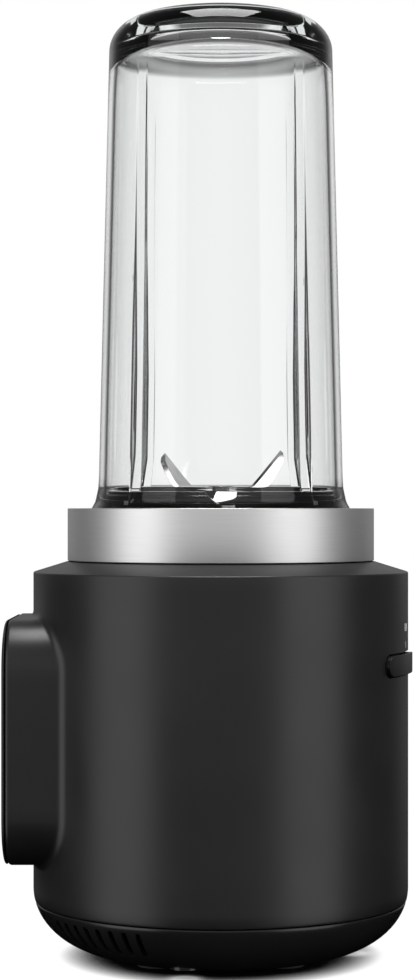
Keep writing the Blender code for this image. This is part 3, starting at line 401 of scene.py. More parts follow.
# Jar ----------------------------------------------------------------------------------------------------
JAR_FOOT_TOP = 163.5
JAR_LOW_RADIUS = 43.1
JAR_HIGH_RADIUS = 39.4
JAR_SHOULDER = 318.0
JAR_WALL = 2.6
RIB_ANGLES = (45.5, 134.5, 225.5, 314.5)
THREAD_LEAD = 18.0
THREAD_ARC = 50.0


def jar_outer_radius(height):
    share = (height - JAR_FOOT_TOP) / (JAR_SHOULDER - JAR_FOOT_TOP)
    return JAR_LOW_RADIUS + (JAR_HIGH_RADIUS - JAR_LOW_RADIUS) * share


def jar_outer_profile():
    """From the middle of the closed end down the outside to the mouth."""
    path = [(0, 329.3), (10, 329.35), (20.6, 329.6, 3), (24.4, 329.8, 1.6), (26.5, 329.95, 2)]
    path = rounded_path(path, closed=False, steps=4)
    path += arc((25.0, JAR_SHOULDER), (JAR_HIGH_RADIUS - 25.0, JAR_TOP - JAR_SHOULDER), 82, 0, 14)
    path += [(jar_outer_radius(z), z) for z in (300, 280, 260, 240, 220, 200, 185, 175)]
    foot = [
        (jar_outer_radius(168), 168), (43.25, 164.2, 6), (44.3, 159.4, 6), (45.7, 156.9, 0.6),
        (45.7, 155.5, 0.4), (44.5, 154.8, 0.4), (44.5, 154.6),
    ]
    path += rounded_path(foot, closed=False, steps=5)
    return path + [(44.5, 154.5 - 0.3 * i) for i in range(1, 20)] + [(44.5, 148.4)]


def jar_inner_profile():
    """From the mouth up the inside to the middle of the ceiling."""
    low, high = JAR_LOW_RADIUS - JAR_WALL, JAR_HIGH_RADIUS - JAR_WALL
    path = rounded_path([(41.2, 148.4), (41.2, 157.8, 3), (low, 163.5, 4), (low - 0.3, 175)], False, 4)
    path += [(jar_outer_radius(z) - JAR_WALL, z) for z in (185, 195, 205, 215, 230, 250, 270, 285, 296, 302)]
    path += arc((high - 9.8, 310.4), (9.8, 9.8), 0, 84, 12)
    ceiling = [(27.0, 320.2), (26.3, 320.3, 0.6), (24.9, 321.3, 0.8), (22, 321.4), (12, 321.6)]
    path += rounded_path(ceiling, False, 3)
    return path + [(0, 321.7)]


def rib_depth(angle, height):
    """How far a rib stands in from the wall: it grows towards the mouth and dies out near the closed end."""
    if not 163.2 < height < 303:
        return 0.0
    growth = min(1.0, max(0.0, (303 - height) / 100))
    depth = 0.45 + 2.6 * growth**1.5
    fade = min(1.0, (303 - height) / 3.0) * min(1.0, (height - 163.2) / 1.5 + 0.05)
    for middle in RIB_ANGLES:
        away = abs((angle - middle + 180) % 360 - 180) * radians(40)
        if away < 3.4:
            side = min(1.0, max(0.0, (2.7 - away) / 0.9))
            return depth * fade * side * side * (3 - 2 * side)
    return 0.0


def thread_height(angle, height):
    """How far the mouth's thread stands out."""
    best = 0.0
    for start in (0, 120, 240):
        along = (angle - start) % 360
        if along > THREAD_ARC:
            continue
        middle = 149.6 + THREAD_LEAD * along / 360
        away = abs(height - middle)
        lift = min(1.0, max(0.0, (0.95 - away) / 0.35)) * min(1.0, along / 3, (THREAD_ARC - along) / 3)
        best = max(best, 1.4 * lift)
    return best


def jar_angles():
    """Angles round the jar, closer together across each rib."""
    angles = set(i * 2.0 for i in range(180))
    for middle in RIB_ANGLES:
        for i in range(-14, 15):
            angles.add(round((middle + i * 0.36) % 360, 3))
    ordered = sorted(angles)
    return [a for a, b in zip(ordered, ordered[1:] + [360.5]) if b - a > 0.12]


def make_jar():
    bm = bmesh.new()
    outer, inner = jar_outer_profile(), jar_inner_profile()
    angles = jar_angles()
    rings = []
    for side, profile in (("outer", outer), ("inner", inner)):
        for r, z in profile:
            if r < 1e-6:
                rings.append([bm.verts.new((0, 0, z * MM))])
                continue
            ring = []
            for angle in angles:
                change = thread_height(angle, z) if side == "outer" and z < 154.5 else 0.0
                if side == "inner":
                    change = -rib_depth(angle, z)
                x, y = polar(r + change, angle)
                ring.append(bm.verts.new((x * MM, y * MM, z * MM)))
            rings.append(ring)
    for a, b in zip(rings, rings[1:]):
        join_rings(bm, a, b)
    piece(object_from("jar_clear", bm, 40.0), "vessel", CLEAR, "clear", "jar")


# Blade unit ---------------------------------------------------------------------------------------------
def make_blade_holder():
    profile = rounded_path([
        (46.3, 156.5, 0.3), (48.0, 156.5, 0.5), (48.0, 143.6, 0.5), (37.5, 143.6, 0.4), (37.5, 147.8, 1.0),
        (6.6, 147.8, 0.3), (6.6, 157.5, 0.4), (9.4, 157.5, 0.8), (10.4, 150.4, 2.0), (34.0, 150.4, 2.0),
        (36.9, 152.6, 2.0), (37.5, 162.5, 0.5), (39.9, 162.5, 0.5), (39.8, 161.4, 0.2), (40.35, 160.8, 0.3),
        (40.1, 160.1, 0.2), (40.3, 158.8, 0.2), (40.9, 158.2, 0.3), (40.9, 157.2, 0.2), (40.6, 155.5, 0.5),
        (39.9, 154.5, 0.5), (39.9, 146.4, 0.3),
        (46.3, 146.4, 0.3),
    ], True, 4)
    holder = revolve("blade_holder_moulding", profile)
    for i in range(4):
        outline = rounded_path(
            [(-7.4, 164.5), (0.4, 156.4, 0.8), (4.6, 156.4, 0.8), (5.5, 164.5)], True, 4
        )
        turn = Matrix.Rotation(radians(-90 + 90 * i), 4, "Z")
        notch = prism(f"notch_{i}", outline, -43, -34, turn @ BACKWARD)
        combine(holder, "DIFFERENCE", notch)
    for i, angle in enumerate((20.0, 140.0, 260.0)):
        corners = ((50, -5), (50, 0), (50, 5), (44.6, 5), (44.6, 0), (44.6, -5))
        outline = [polar(r, angle + a) for r, a in corners]
        combine(holder, "DIFFERENCE", prism(f"pocket_{i}", outline, 141, 145.5))
    smooth_shading(holder)
    piece(holder, "blade_unit", GLOSS_BLACK, "gloss_black", "blade_holder")
    make_lock_marks()


def make_lock_marks():
    """Plain alignment marks on the holder: a small square on both sides, with a slanted bar beside one."""
    bm = bmesh.new()
    for angle, width, lean in ((-139.5, 1.9, 0), (-135.4, 0.7, 38), (-40.5, 1.9, 0)):
        spin = Matrix.Rotation(radians(angle), 4, "Z")
        tilt = Matrix.Rotation(radians(-lean), 4, "X")
        size = Matrix.Diagonal((0.5 * MM, width * MM, 1.9 * MM, 1))
        place = Matrix.Translation((40.9 * MM, 0, (158.2 if not lean else 159.2) * MM))
        bmesh.ops.create_cube(bm, size=1.0, matrix=spin @ place @ tilt @ size)
    marks = object_from("holder_lock_marks", bm)
    bevel = marks.modifiers.new("soft edges", "BEVEL")
    bevel.width = 0.12 * MM
    bevel.segments = 2
    apply_modifiers(marks)
    piece(smooth_shading(marks), "blade_unit", MARK_WHITE, "lens_white")


def blade_edges(share, root):
    """Both long edges of a wing, across its middle line: one ground and swept back, one almost straight."""
    sweep = (9.6, 8.8, 7.7, 5.7, 3.9, 2.0, -0.1, -3.6, -7.6)
    steps = (0.0, 0.15, 0.3, 0.45, 0.57, 0.69, 0.81, 0.92, 1.0)
    scale = root / 6.4
    for a, b, low, high in zip(steps, steps[1:], sweep, sweep[1:]):
        if share <= b:
            return (low + (high - low) * (share - a) / (b - a)) * scale, (-2.6 - 5.4 * share**0.8) * scale
    return sweep[-1] * scale, -8.0 * scale


def make_blade(name, node, height, direction, bend_start, bend, length, root, thickness=1.0):
    """A flat root with both wings bent and drawn to a swept point, each ground along its leading edge."""
    ramp = 3.2
    stations = [(3.4 + (bend_start - 3.4) * i / 5, None) for i in range(5)]
    stations += [(bend_start + length * i / 26, i / 26) for i in range(27)]
    halves = {1: [], -1: []}
    turn = Matrix.Rotation(radians(direction), 3, "Z")
    for distance, share in stations:
        along = max(0.0, distance - bend_start)
        slope = radians(bend) * min(1.0, along / ramp)
        mean = slope / 2 if along < ramp else radians(bend) / 2
        x = min(distance, bend_start) + min(along, ramp) * cos(mean) + max(0.0, along - ramp) * cos(slope)
        z = min(along, ramp) * sin(mean) + max(0.0, along - ramp) * sin(slope)
        if share is None:
            near = (distance - 3.4) / (bend_start - 3.4)
            lead, trail = (v * near + (1 - near) * w for v, w in zip(blade_edges(0.0, root), (root, -root)))
        else:
            lead, trail = blade_edges(share, root)
        width = lead - trail
        ground = min(2.3, 0.55 * width) * (0.0 if share is None else min(1.0, 0.3 + share * 6))
        edge = thickness if share is None else max(0.08, thickness * (1 - share * 8))
        shape = [
            (lead, 0), (lead, edge), (lead - ground, thickness),
            (trail, thickness), (trail, thickness / 2), (trail, 0),
        ]
        for side in (1, -1):
            ring = []
            for v, t in shape if side > 0 else shape[::-1]:
                point = turn @ Vector((side * (x - sin(slope) * t), side * v, z + cos(slope) * t))
                ring.append((point.x, point.y, height + point.z))
            halves[side].append(ring)
    blade = loft(name, halves[-1][::-1] + halves[1], True, 20.0)
    below, above = height - 4, height + 5
    hole = revolve(f"{name}_hole", [(3.3, below), (3.3, above), (0, above), (0, below)], SMALL)
    combine(blade, "DIFFERENCE", hole)
    smooth_shading(blade, 20.0)
    piece(blade, "cutter", BLADE_STEEL, "steel", node)


def make_cutter():
    make_blade("blade_up", "blade_upper", 162.1, 155.0, 11.0, 45.5, 21.6, 6.4)
    make_blade("blade_down", "blade_lower", 160.4, -83.0, 10.0, -22.0, 17.0, 5.4)
    head = 162.1 + 1.0
    profile = rounded_path([
        (0, head + 1.1), (3.6, head + 1.0, 1.0), (4.6, head + 0.4, 0.4), (4.6, head, 0.1), (3.0, head, 0.1),
        (3.0, 142.8, 0.4), (0, 142.8),
    ], False, 5)
    piece(revolve("blade_rivet", profile, SMALL), "cutter", TURNED_STEEL, "steel", "blade_shaft")


# Base ---------------------------------------------------------------------------------------------------
def bowl_radius(height):
    share = (BOWL_TOP - height) / (BOWL_TOP - BOWL_BOTTOM)
    return BOWL_FLAT_RADIUS + (BODY_RADIUS - BOWL_FLAT_RADIUS) * sqrt(max(0.0, 1 - share**2))


def make_collar():
    profile = rounded_path([
        (51.5, COLLAR_TOP, 0.3), (COLLAR_RADIUS, COLLAR_TOP, 0.35),
        (COLLAR_RADIUS, COLLAR_BOTTOM, 0.35), (51.5, COLLAR_BOTTOM, 0.2),
    ], True, 5)
    piece(revolve("collar_brushed", profile, ROUND), "base", BRUSHED_BAND, "satin_aluminium", "collar_band")


def make_top_deck():
    profile = rounded_path([
        (48.6, COLLAR_TOP - 0.4, 0.4), (51.2, COLLAR_TOP - 0.4, 0.3), (51.2, COLLAR_BOTTOM, 0.2),
        (46.6, COLLAR_BOTTOM), (46.6, 135.6), (44.2, 135.6), (44.2, 138.2),
        (15.0, 138.2), (15.0, 145.0, 0.4), (17.2, 145.0, 0.4),
        (17.2, 141.0, 0.5), (48.6, 141.0, 0.5),
    ], True, 3)
    deck = revolve("socket_moulding", profile, ROUND)
    hole = revolve("pin_hole", [(2.3, 130), (2.3, 146), (0, 146), (0, 130)], 32)
    hole.location.y = INTERLOCK_PLACE * MM
    bpy.context.view_layer.update()
    combine(deck, "DIFFERENCE", hole)
    for angle in MOTOR_POST_ANGLES:
        x, y = polar(MOTOR_POST_CIRCLE, angle)
        post = revolve("post", rounded_path([(4.2, 139), (4.2, 124.3, 0.4), (1.8, 124.3, 0.2), (1.8, 134),
                                             (0, 134), (0, 139)], False, 2), 32)
        post.location = (x * MM, y * MM, 0)
        bpy.context.view_layer.update()
        combine(deck, "UNION", post)
    for side in (-1, 1):
        inside, outside = sorted((side * 6.4, side * 8.2))
        outline = [(inside, 37.5), (outside, 37.5), (outside, 45.5), (inside, 45.5)]
        combine(deck, "UNION", prism("bracket", outline, 117, 139.5))
    smooth_shading(deck)
    piece(deck, "base", DARK_PLASTIC, "dark_plastic", "top_deck")


def pod_outline(inset, count=10):
    """Points (y, z) of the pod's rounded outline, moved in by an inset, with their outward directions."""
    corner = POD_CORNER - inset
    half, low, high = POD_HALF_WIDTH - inset, POD_BOTTOM + inset, POD_TOP - inset
    points = []
    for cy, cz, start in (
        (half - corner, high - corner, 0), (-half + corner, high - corner, 90),
        (-half + corner, low + corner, 180), (half - corner, low + corner, 270),
    ):
        for i in range(count + 1):
            a = radians(start + 90 * i / count)
            points.append((cy + corner * cos(a), cz + corner * sin(a), cos(a), sin(a)))
    dense = []
    for a, b in zip(points, points[1:] + points[:1]):
        dense.append(a)
        gap = hypot(b[0] - a[0], b[1] - a[1])
        extra = int(gap // 4)
        for k in range(1, extra + 1):
            t = k / (extra + 1)
            dense.append(tuple(p + (q - p) * t for p, q in zip(a, b)))
    return dense


def make_pod():
    """The pod's wall with rounded rim and a soft fillet where it leaves the round body."""
    fillet = 2.8
    rim_radius = 1.4
    outline = pod_outline(0.0)
    sections = []
    inner_x = BAY_END - 2.0
    sections.append([(-inner_x, y + ny * fillet, z + nz * fillet) for y, z, ny, nz in outline])
    landing = []
    for y, z, ny, nz in outline:
        fy, fz = y + ny * fillet, z + nz * fillet
        landing.append((-sqrt(BODY_RADIUS**2 - min(fy * fy, 4300)) + 0.06, fy, fz))
    sections.append(landing)
    steps = 8
    for i in range(1, steps + 1):
        t = i / steps
        ring = []
        for (y, z, ny, nz), (lx, ly, lz) in zip(outline, landing):
            corner_x = -sqrt(BODY_RADIUS**2 - y * y)
            slope = abs(y) / sqrt(BODY_RADIUS**2 - y * y)
            reach = fillet * (1 - 0.15 * slope)
            end = (corner_x - reach, y, z)
            middle = (corner_x, y, z)
            ring.append(tuple(
                (1 - t) ** 2 * a + 2 * t * (1 - t) * b + t * t * c
                for a, b, c in zip((lx, ly, lz), middle, end)
            ))
        sections.append(ring)
    straight = POD_BACK - rim_radius
    for i in range(3):
        share = (i + 1) / 3
        ring = []
        for (y, z, ny, nz), start in zip(outline, sections[2 + steps - 1]):
            ring.append((start[0] + (-straight - start[0]) * share, y, z))
        sections.append(ring)
    for i in range(1, 7):
        a = radians(90 * i / 6)
        inset = rim_radius * (1 - cos(a))
        sections.append([
            (-(straight + rim_radius * sin(a)), y - ny * inset, z - nz * inset) for y, z, ny, nz in outline
        ])
    return loft("pod_form", sections, True)


def curved_bar(name, inner, outer, start, end, half_height, steps=24, round_steps=8, edge=0.0):
    """A round-ended bar bent round the axis at the switch's height."""
    per_degree = radians(outer)
    cap = half_height / per_degree
    turns = [90 * (i + 0.4) / round_steps for i in range(round_steps)]
    angles = [start + cap * (1 - cos(radians(a))) for a in turns]
    angles += [start + cap + (end - start - 2 * cap) * i / steps for i in range(steps + 1)]
    angles += [end - cap * (1 - cos(radians(a))) for a in turns[::-1]]
    sections = []
    for angle in angles:
        inset = max(0.0, cap - min(angle - start, end - angle)) / cap
        half = half_height * sqrt(max(0.0, 1 - inset**2))
        ring = []
        for radius, dz in ((inner, -half), (outer, -half), (outer, half), (inner, half)):
            x, y = polar(radius, angle)
            ring.append((x, y, SWITCH_HEIGHT + dz))
        sections.append(ring)
    return loft(name, sections)


def make_housing():
    shoulder_top = COLLAR_BOTTOM - 0.3
    inner = BODY_RADIUS - BODY_WALL
    bowl = [(bowl_radius(z), z) for z in (23.2, 21.8, 20.9)]
    outside = rounded_path([
        (47.0, shoulder_top), (54.4, shoulder_top, 0.8), (BODY_RADIUS, SHOULDER_EDGE - 0.1, 0.7),
        (BODY_RADIUS, 130.0),
    ], False, 6) + [(BODY_RADIUS, z) for z in (110, 90, 60, 40, BOWL_TOP)] + bowl
    seam = SEAM_HEIGHT + 0.3
    edge = [(bowl_radius(20.7), 20.7), (bowl_radius(seam), seam, 0.3), (62.8, seam)]
    outside += rounded_path(edge, False, 3)[1:]
    under = shoulder_top - BODY_WALL
    outside += [(inner, BOWL_TOP), (inner, SHOULDER_EDGE - 2.4), (COLLAR_RADIUS, under), (47.0, under)]
    housing = revolve("housing_moulding", outside, ROUND)
    combine(housing, "UNION", make_pod())
    bay = [(y, z) for y, z, _, _ in pod_outline(POD_WALL)]
    combine(housing, "DIFFERENCE", prism("bay", bay, BAY_END, POD_BACK + 8, BACKWARD))
    window = [(-9.4, 44.6), (9.4, 44.6), (9.4, 53.4), (-9.4, 53.4)]
    combine(housing, "DIFFERENCE", prism("window", window, BAY_END - 4, BAY_END + 4, BACKWARD))
    slot = curved_bar("slot", 55, 72, -32.6, 32.6, 4.1)
    combine(housing, "DIFFERENCE", slot)
    for angle in LENS_ANGLES:
        hole = revolve("lens_hole", [(1.45, -7), (1.45, 7), (0, 7), (0, -7)], 32)
        hole.matrix_world = (
            Matrix.Rotation(radians(angle), 4, "Z")
            @ Matrix.Translation((65 * MM, 0, LENS_HEIGHT * MM)) @ Matrix.Rotation(pi / 2, 4, "Y")
        )
        bpy.context.view_layer.update()
        combine(housing, "DIFFERENCE", hole)
    smooth_shading(housing, 30.0)
    piece(housing, "base", SOFT_BLACK, "soft_black", "housing")
    make_front_marks()


def make_front_marks():
    """Plain speed marks over the slider: a pair of bars and a single bar, printed on the wall."""
    bm = bmesh.new()
    for angle in (-15.0, -12.4, 12.4):
        ring = []
        for radius in (65.98, 66.06):
            for dz in (-1.3, 1.3):
                for da in (-0.45, 0.45):
                    x, y = polar(radius, angle + da)
                    ring.append(bm.verts.new((x * MM, y * MM, (MARK_HEIGHT + dz) * MM)))
        for corners in ((0, 1, 3, 2), (4, 5, 7, 6), (0, 1, 5, 4), (2, 3, 7, 6), (0, 2, 6, 4), (1, 3, 7, 5)):
            bm.faces.new([ring[i] for i in corners])
    piece(object_from("speed_marks", bm), "base", MARK_WHITE, "lens_white")


def make_bottom_cover():
    wall = 2.2
    lip = bowl_radius(SEAM_HEIGHT) - 0.1
    outer = rounded_path([(63.5, SEAM_HEIGHT), (lip, SEAM_HEIGHT, 1.0), (bowl_radius(18.6), 18.6)], False, 4)
    heights = (17.5, 16, 14.5, 13, 11.5, 10, 8.6, 7.3, 6.1, 5.1, 4.2, 3.4, 2.8, 2.3)
    outer += [(bowl_radius(z), z) for z in heights]
    outer += [(BOWL_FLAT_RADIUS, BOWL_BOTTOM), (30, BOWL_BOTTOM), (0, BOWL_BOTTOM)]
    inner = [(0, 4.2), (BOWL_FLAT_RADIUS, 4.2)]
    inner += [(bowl_radius(z) - wall * 0.8, z + wall * 0.75) for z in (3.4, 5.1, 7.3, 10, 13, 16)]
    cover = revolve("bottom_cover_moulding", outer + inner + [(62.6, 18.6)], ROUND)
    for angle in COVER_SCREW_ANGLES:
        at = polar(COVER_SCREW_CIRCLE, angle)
        form = rounded_path([(5.2, 22.5, 0.3), (5.2, 3.6), (0, 3.6), (0, 22.5)], False, 2)
        tower = revolve("tower", form, SMALL)
        recess = revolve("recess", [(3.7, -3), (3.7, 12), (1.9, 12), (1.9, 24), (0, 24), (0, -3)], 40)
        for tool, operation in ((tower, "UNION"), (recess, "DIFFERENCE")):
            tool.location = (at[0] * MM, at[1] * MM, 0)
            bpy.context.view_layer.update()
            combine(cover, operation, tool)
    for i in range(4):
        at = polar(FOOT_CIRCLE, 45 + 90 * i)
        hole = revolve("foot_hole", [(2.8, -1), (2.8, 6), (0, 6), (0, -1)], 32)
        hole.location = (at[0] * MM, at[1] * MM, 0)
        bpy.context.view_layer.update()
        combine(cover, "DIFFERENCE", hole)
    for side in (-1, 1):
        for i in range(8):
            angle = side * (115.0 + 4.9 * i)
            combine(cover, "DIFFERENCE", vent_tool(angle))
    smooth_shading(cover, 30.0)
    piece(cover, "base", DARK_PLASTIC, "dark_plastic", "bottom_cover")


def vent_tool(angle):
    """A round-ended slot that leans with the bowl's wall."""
    outline = arc((0, 4.5), 1.1, 0, 180, 9) + arc((0, -4.5), 1.1, 180, 360, 9)
    low, high = bowl_radius(8.6), bowl_radius(17.4)
    lean = atan2(high - low, 8.8)
    matrix = (
        Matrix.Rotation(radians(angle), 4, "Z")
        @ Matrix.Translation(((low + high) / 2, 0, 13.0))
        @ Matrix.Rotation(lean, 4, "Y")
        @ Matrix(((0, 0, 1), (1, 0, 0), (0, 1, 0))).to_4x4()
    )
    return prism("vent", outline, -7, 7, matrix)


def make_feet():
    profile = rounded_path([
        (0, 4.6), (2.4, 4.6, 0.4), (2.4, 1.7), (6.6, 1.7, 0.2), (6.6, 0.0, 0.6),
        (2.2, 0, 0.1), (1.8, 0.5, 0.2), (0, 0.5),
    ], False, 4)
    for i in range(4):
        foot = revolve(f"rubber_foot_{i + 1}", profile, SMALL)
        x, y = polar(FOOT_CIRCLE, 45 + 90 * i)
        foot.location = (x * MM, y * MM, 0)
        piece(foot, "base", RUBBER, "rubber", f"foot_{i + 1}")


def make_switch():
    knob = curved_bar("slider_knob", 62.8, 67.5, -32.0, -4.0, 3.5, 30, 9)
    bevel = knob.modifiers.new("rounded", "BEVEL")
    bevel.width = 1.3 * MM
    bevel.segments = 4
    bevel.limit_method = "ANGLE"
    bevel.angle_limit = radians(60)
    apply_modifiers(knob)
    smooth_shading(knob, 40.0)
    piece(knob, "power_switch", SOFT_BLACK, "soft_black", "switch_knob")


def make_battery_cover():
    """The pack's outer shell: a crowned plate that fills the pod's outline."""
    near, far, crown = POD_BACK + 0.3, BATTERY_BACK - 1.0, 1.0
    base = pod_outline(0.3)
    sections = [[(-near, y, z) for y, z, _, _ in base]]
    middle = (POD_BOTTOM + POD_TOP) / 2
    rises = ((0.0, 0.0), (0.25, 0.35), (0.8, 0.62), (1.8, 0.8), (4, 0.95), (8, 1.1), (13, 1.22), (17.5, 1.3))
    for inset, rise in rises:
        ring = [(y, z) for y, z, _, _ in pod_outline(0.3 + min(inset, 17.2))]
        if len(ring) != len(base):
            ring = [(y * (1 - inset / 34), middle + (z - middle) * (1 - inset / 44)) for y, z, _, _ in base]
        depth = far - 0.3 + rise
        sections.append([(-depth, y, z) for y, z in ring])
    sections.append([(-(far + 1.0), y * 0.1, middle + (z - middle) * 0.3) for y, z, _, _ in base])
    cover = loft("battery_shell", sections, True, 40.0)
    ends = arc((7.3, 0), 4.3, -90, 90, 12) + arc((-7.3, 0), 4.3, 90, 270, 12)
    hole = [(y, BUTTON_HEIGHT + z) for y, z in ends]
    combine(cover, "DIFFERENCE", prism("button_hole", hole, near - 5, BATTERY_BACK + 5, BACKWARD))
    smooth_shading(cover, 40.0)
    piece(cover, "battery", SOFT_BLACK, "soft_black", "battery_cover")


def make_interlock_spring():
    """The interlock pin's return spring, with closed end turns."""
    low, high, radius, wire, turns = 128.3, 133.2, 2.1, 0.3, 4.0
    steps, sides = 112, 8
    rings = []
    for i in range(steps + 1):
        share = i / steps
        rise = min(1.0, max(0.0, (share - 0.1) / 0.8))
        spin = 360 * turns * share
        middle = low + wire + (high - low - 2 * wire) * (0.06 * share + 0.94 * rise)
        ring = []
        for k in range(sides):
            x, y = polar(radius + wire * cos(2 * pi * k / sides), spin)
            ring.append((x, y + INTERLOCK_PLACE, middle + wire * sin(2 * pi * k / sides)))
        rings.append(ring)
    spring = piece(loft("return_spring", rings), "base", PLATED_STEEL, "steel", "interlock_spring")
    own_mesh(spring)


make_jar()
make_blade_holder()
make_cutter()
make_collar()
make_top_deck()
make_housing()
make_bottom_cover()
make_feet()
make_switch()
make_battery_cover()
make_interlock_spring()

KEPT = {
    "lock_ring": NYLON, "interlock_pin": NYLON, "interlock_switch": GLOSS_BLACK,
    "motor_can": PLATED_STEEL, "motor_end_cap": DARK_PLASTIC, "motor_bearing": BRONZE, "magnet_1": MAGNET,
    "magnet_2": MAGNET, "motor_mount": PLATED_STEEL, "motor_shaft": TURNED_STEEL, "armature": LAMINATION,
    "commutator": COPPER, "cooling_fan": NYLON, "drive_coupling": DARK_PLASTIC,
    "driven_coupling": DARK_PLASTIC,
    "shaft_bearing_lower": BRONZE, "shaft_bearing_upper": BRONZE, "shaft_seal": RUBBER, "jar_gasket": RUBBER,
    "drip_seal": RUBBER, "switch_carrier": DARK_PLASTIC, "circuit_board": BOARD, "micro_switch": GLOSS_BLACK,
    "terminal_block": NYLON, "motor_wire_red": RED_SLEEVE, "motor_wire_black": BLACK_SLEEVE,
    "battery_wire_red": RED_SLEEVE, "battery_wire_black": BLACK_SLEEVE, "battery_case": DARK_PLASTIC,
    "battery_cell_1": CELL_WRAP, "battery_cell_2": CELL_WRAP, "battery_cell_3": CELL_WRAP,
    "release_button": DARK_PLASTIC, "indicator_lens_1": LENS, "indicator_lens_2": LENS,
    "indicator_lens_3": LENS,
    "cover_screw_1": PLATED_STEEL, "cover_screw_2": PLATED_STEEL, "cover_screw_3": PLATED_STEEL,
    "mount_screw_1": PLATED_STEEL, "mount_screw_2": PLATED_STEEL, "mount_screw_3": PLATED_STEEL,
}
for node, material in KEPT.items():
    obj = frame["nodes"][node]
    obj.data.materials.clear()
    obj.data.materials.append(material)
    obj.data.shade_smooth()
    obj.data.set_sharp_from_angle(angle=radians(35))


# Studio -------------------------------------------------------------------------------------------------
def make_floor():
    """A pale floor that glows white, with a narrow band of painted contact shadow under the part."""
    bm = bmesh.new()
    bmesh.ops.create_grid(bm, x_segments=2, y_segments=2, size=6.0)
    floor = object_from("floor", bm)
    n = Nodes("pale_floor")
    # Painted contact shadow: ambient occlusion within 8 mm of the part dims the floor's glow.
    near = n.add("AmbientOcclusion")
    near.samples = 16
    near.inputs["Distance"].default_value = 0.008
    shade = n.ranged(near.outputs["AO"], 0.0, 1.0, 0.15, 0.75)
    tone = n.tinted(n.noise(n.position(), 3.0, 2.0), (0.985, 0.985, 0.985), (1.0, 1.0, 1.0))
    n.link(tone, n.shader.inputs["Emission Color"])
    n.link(shade, n.shader.inputs["Emission Strength"])
    n.set(Roughness=0.9, Specular_IOR_Level=0.0, Base_Color=(0.02, 0.02, 0.02, 1))
    floor.data.materials.append(n.material)
    floor.visible_diffuse = False
    floor.visible_glossy = False
    floor.visible_transmission = False
    floor.visible_shadow = False


def softbox(name, azimuth, elevation, distance, width, height, radiance, target=(0, 0, 0.15)):
    """An area light of a given radiance. The azimuth counts from the camera's side, towards +X."""
    light = bpy.data.lights.new(name, "AREA")
    light.shape = "RECTANGLE"
    light.size = width
    light.size_y = height
    light.energy = radiance * pi * width * height
    obj = bpy.data.objects.new(name, light)
    bpy.context.scene.collection.objects.link(obj)
    a, e = radians(azimuth), radians(elevation)
    offset = Vector((sin(a) * cos(e), -cos(a) * cos(e), sin(e))) * distance
    obj.location = Vector(target) + offset
    obj.rotation_euler = offset.to_track_quat("Z", "Y").to_euler()
    obj.visible_camera = False
    return obj


def light_on(light, names, through=()):
    """Limits a light to the named pieces, or to all others with "-" before the names."""
    seen = bpy.data.collections.new(f"{light.name}_on")
    light.light_linking.receiver_collection = seen
    for name in names:
        seen.objects.link(bpy.data.objects[name.lstrip("-")])
        if name.startswith("-"):
            seen.collection_objects[-1].light_linking.link_state = "EXCLUDE"
    if through:
        stops = bpy.data.collections.new(f"{light.name}_passes")
        light.light_linking.blocker_collection = stops
        for name in through:
            stops.objects.link(bpy.data.objects[name])
            stops.collection_objects[-1].light_linking.link_state = "EXCLUDE"


def ramp_of(tree, value, stops):
    """A grey ramp over a value from -1 to 1."""
    scaled = tree.nodes.new("ShaderNodeMapRange")
    scaled.inputs["From Min"].default_value = -1.0
    scaled.inputs["From Max"].default_value = 1.0
    tree.links.new(value, scaled.inputs["Value"])
    ramp = tree.nodes.new("ShaderNodeValToRGB")
    tree.links.new(scaled.outputs["Result"], ramp.inputs["Fac"])
    elements = ramp.color_ramp.elements
    while len(elements) < len(stops):
        elements.new(0.5)
    for element, (position, grey) in zip(elements, stops):
        element.position = (position + 1) / 2
        element.color = (grey, grey, grey, 1)
    return ramp.outputs["Color"]


def make_world():
    """White to the eye, bright behind the part, grey at the front and dark at the sides and below."""
    world = bpy.data.worlds.new("studio")
    bpy.context.scene.world = world
    world.use_nodes = True
    tree = world.node_tree
    tree.nodes.clear()

    def math(operation, a, b):
        node = tree.nodes.new("ShaderNodeMath")
        node.operation = operation
        for socket, value in zip(node.inputs, (a, b)):
            if isinstance(value, (int, float)):
                socket.default_value = value
            else:
                tree.links.new(value, socket)
        return node.outputs["Value"]

    coord = tree.nodes.new("ShaderNodeTexCoord")
    split = tree.nodes.new("ShaderNodeSeparateXYZ")
    tree.links.new(coord.outputs["Generated"], split.inputs["Vector"])
    path = tree.nodes.new("ShaderNodeLightPath")
    aside = split.outputs["Y"]
    upward = split.outputs["Z"]
    glossy = math("MULTIPLY", ramp_of(tree, aside, GLOSS_AROUND), ramp_of(tree, upward, GLOSS_UPWARD))
    card = math("MULTIPLY", ramp_of(tree, aside, CARD_AROUND), ramp_of(tree, upward, CARD_UPWARD))
    glossy = math("ADD", glossy, math("MULTIPLY", card, CARD_RADIANCE))
    level = math("SQRT", math("SUBTRACT", 1.0001, math("MULTIPLY", upward, upward)), 0.0)
    bearing = math("DIVIDE", aside, level)
    through = math("MULTIPLY", ramp_of(tree, bearing, THROUGH_AROUND), ramp_of(tree, upward, THROUGH_UPWARD))
    diffuse = math("MULTIPLY", ramp_of(tree, upward, DIFFUSE_UPWARD), DIFFUSE_DOME)
    is_through = path.outputs["Is Transmission Ray"]
    glossy = math("MULTIPLY", glossy, math("SUBTRACT", 1.0, is_through))
    scattered = math("MULTIPLY", path.outputs["Is Diffuse Ray"], diffuse)
    value = math("ADD", path.outputs["Is Camera Ray"], scattered)
    value = math("ADD", value, math("MULTIPLY", path.outputs["Is Glossy Ray"], glossy))
    value = math("ADD", value, math("MULTIPLY", is_through, through))
    background = tree.nodes.new("ShaderNodeBackground")
    tree.links.new(value, background.inputs["Color"])
    output = tree.nodes.new("ShaderNodeOutputWorld")
    tree.links.new(background.outputs["Background"], output.inputs["Surface"])


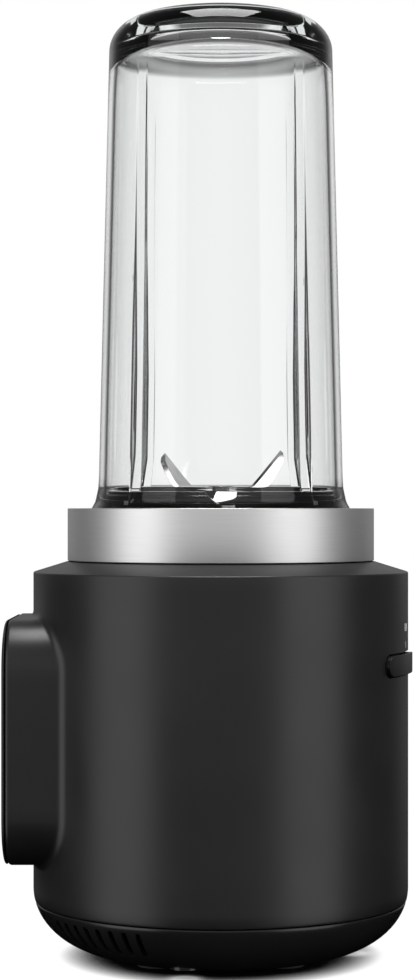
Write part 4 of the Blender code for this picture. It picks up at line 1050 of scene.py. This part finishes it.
def make_camera():
    camera = bpy.data.cameras.new("camera")
    camera.lens = LENS_LENGTH
    camera.sensor_width = 36.0
    camera.shift_x, camera.shift_y = CAMERA_SHIFT
    obj = bpy.data.objects.new("camera", camera)
    bpy.context.scene.collection.objects.link(obj)
    obj.location = (0, -CAMERA_DISTANCE * MM, EYE_HEIGHT * MM)
    obj.rotation_euler = (radians(90), 0, 0)
    bpy.context.scene.camera = obj


# Each world ramp holds (direction, level) stops: AROUND over how far a ray goes towards +Y, away from the
# camera, and UPWARD over how far it goes up, both from -1 to 1.
GLOSS_AROUND = ((-1.0, 0.62), (-0.8, 0.42), (-0.3, 0.10), (0.6, 0.12), (0.85, 0.30), (1.0, 0.10))
GLOSS_UPWARD = ((-0.25, 0.0), (-0.02, 1.0), (0.5, 1.0), (1.0, 0.6))
CARD_AROUND = ((0.70, 0.0), (0.88, 1.0))
CARD_UPWARD = ((0.10, 0.0), (0.18, 1.0), (0.45, 1.0), (0.60, 0.0))
CARD_RADIANCE = 0.25
THROUGH_AROUND = ((-1.0, 0.30), (-0.3, 0.04), (0.84, 0.04), (0.90, 0.75), (0.955, 1.0))
THROUGH_UPWARD = ((-0.30, 0.02), (-0.12, 0.10), (-0.05, 1.0), (0.42, 1.0), (0.55, 0.2), (0.8, 0.12))
DIFFUSE_UPWARD = ((-0.2, 0.0), (0.4, 1.0))
DIFFUSE_DOME = 1.2

CAMERA_DISTANCE = 817.6  # from the motor axis
EYE_HEIGHT = 157.0
LENS_LENGTH = 85.0
CAMERA_SHIFT = (-0.01357, 0.01918)  # fractions of the longer side of the picture

make_floor()
make_world()
for side, azimuth, radiance in (("left", -61, 1.36), ("right", 56, 1.30)):
    light_on(softbox(f"{side}_box", azimuth, 2, 1.6, 1.15, 2.4, radiance), ["-jar_clear"])
    light_on(softbox(f"{side}_jar_box", azimuth, 2, 1.6, 1.0, 2.4, 0.45), ["jar_clear"])
softbox("top_box", 0, 88, 1.5, 0.9, 0.9, 7.5)
BLADES = ["blade_up", "blade_down"]
BLADE_CARDS = (
    ("underside_card", 155, -25, 0.012, 0.016, 2.0, (0.0165, -0.0075, 0.170)),
    ("bevel_card", 111, 54, 0.020, 0.016, 2.0, (-0.0165, 0.0075, 0.170)),
    ("notch_card", 180, 44, 0.020, 0.016, 2.0, (0.0, -0.018, 0.158)),
)
for name, azimuth, elevation, distance, side, radiance, target in BLADE_CARDS:
    card = softbox(name, azimuth, elevation, distance, side, side, radiance, target)
    card.visible_transmission = False
    light_on(card, BLADES, ["blade_holder_moulding"])
make_camera()
bpy.context.scene.view_settings.view_transform = "Standard"
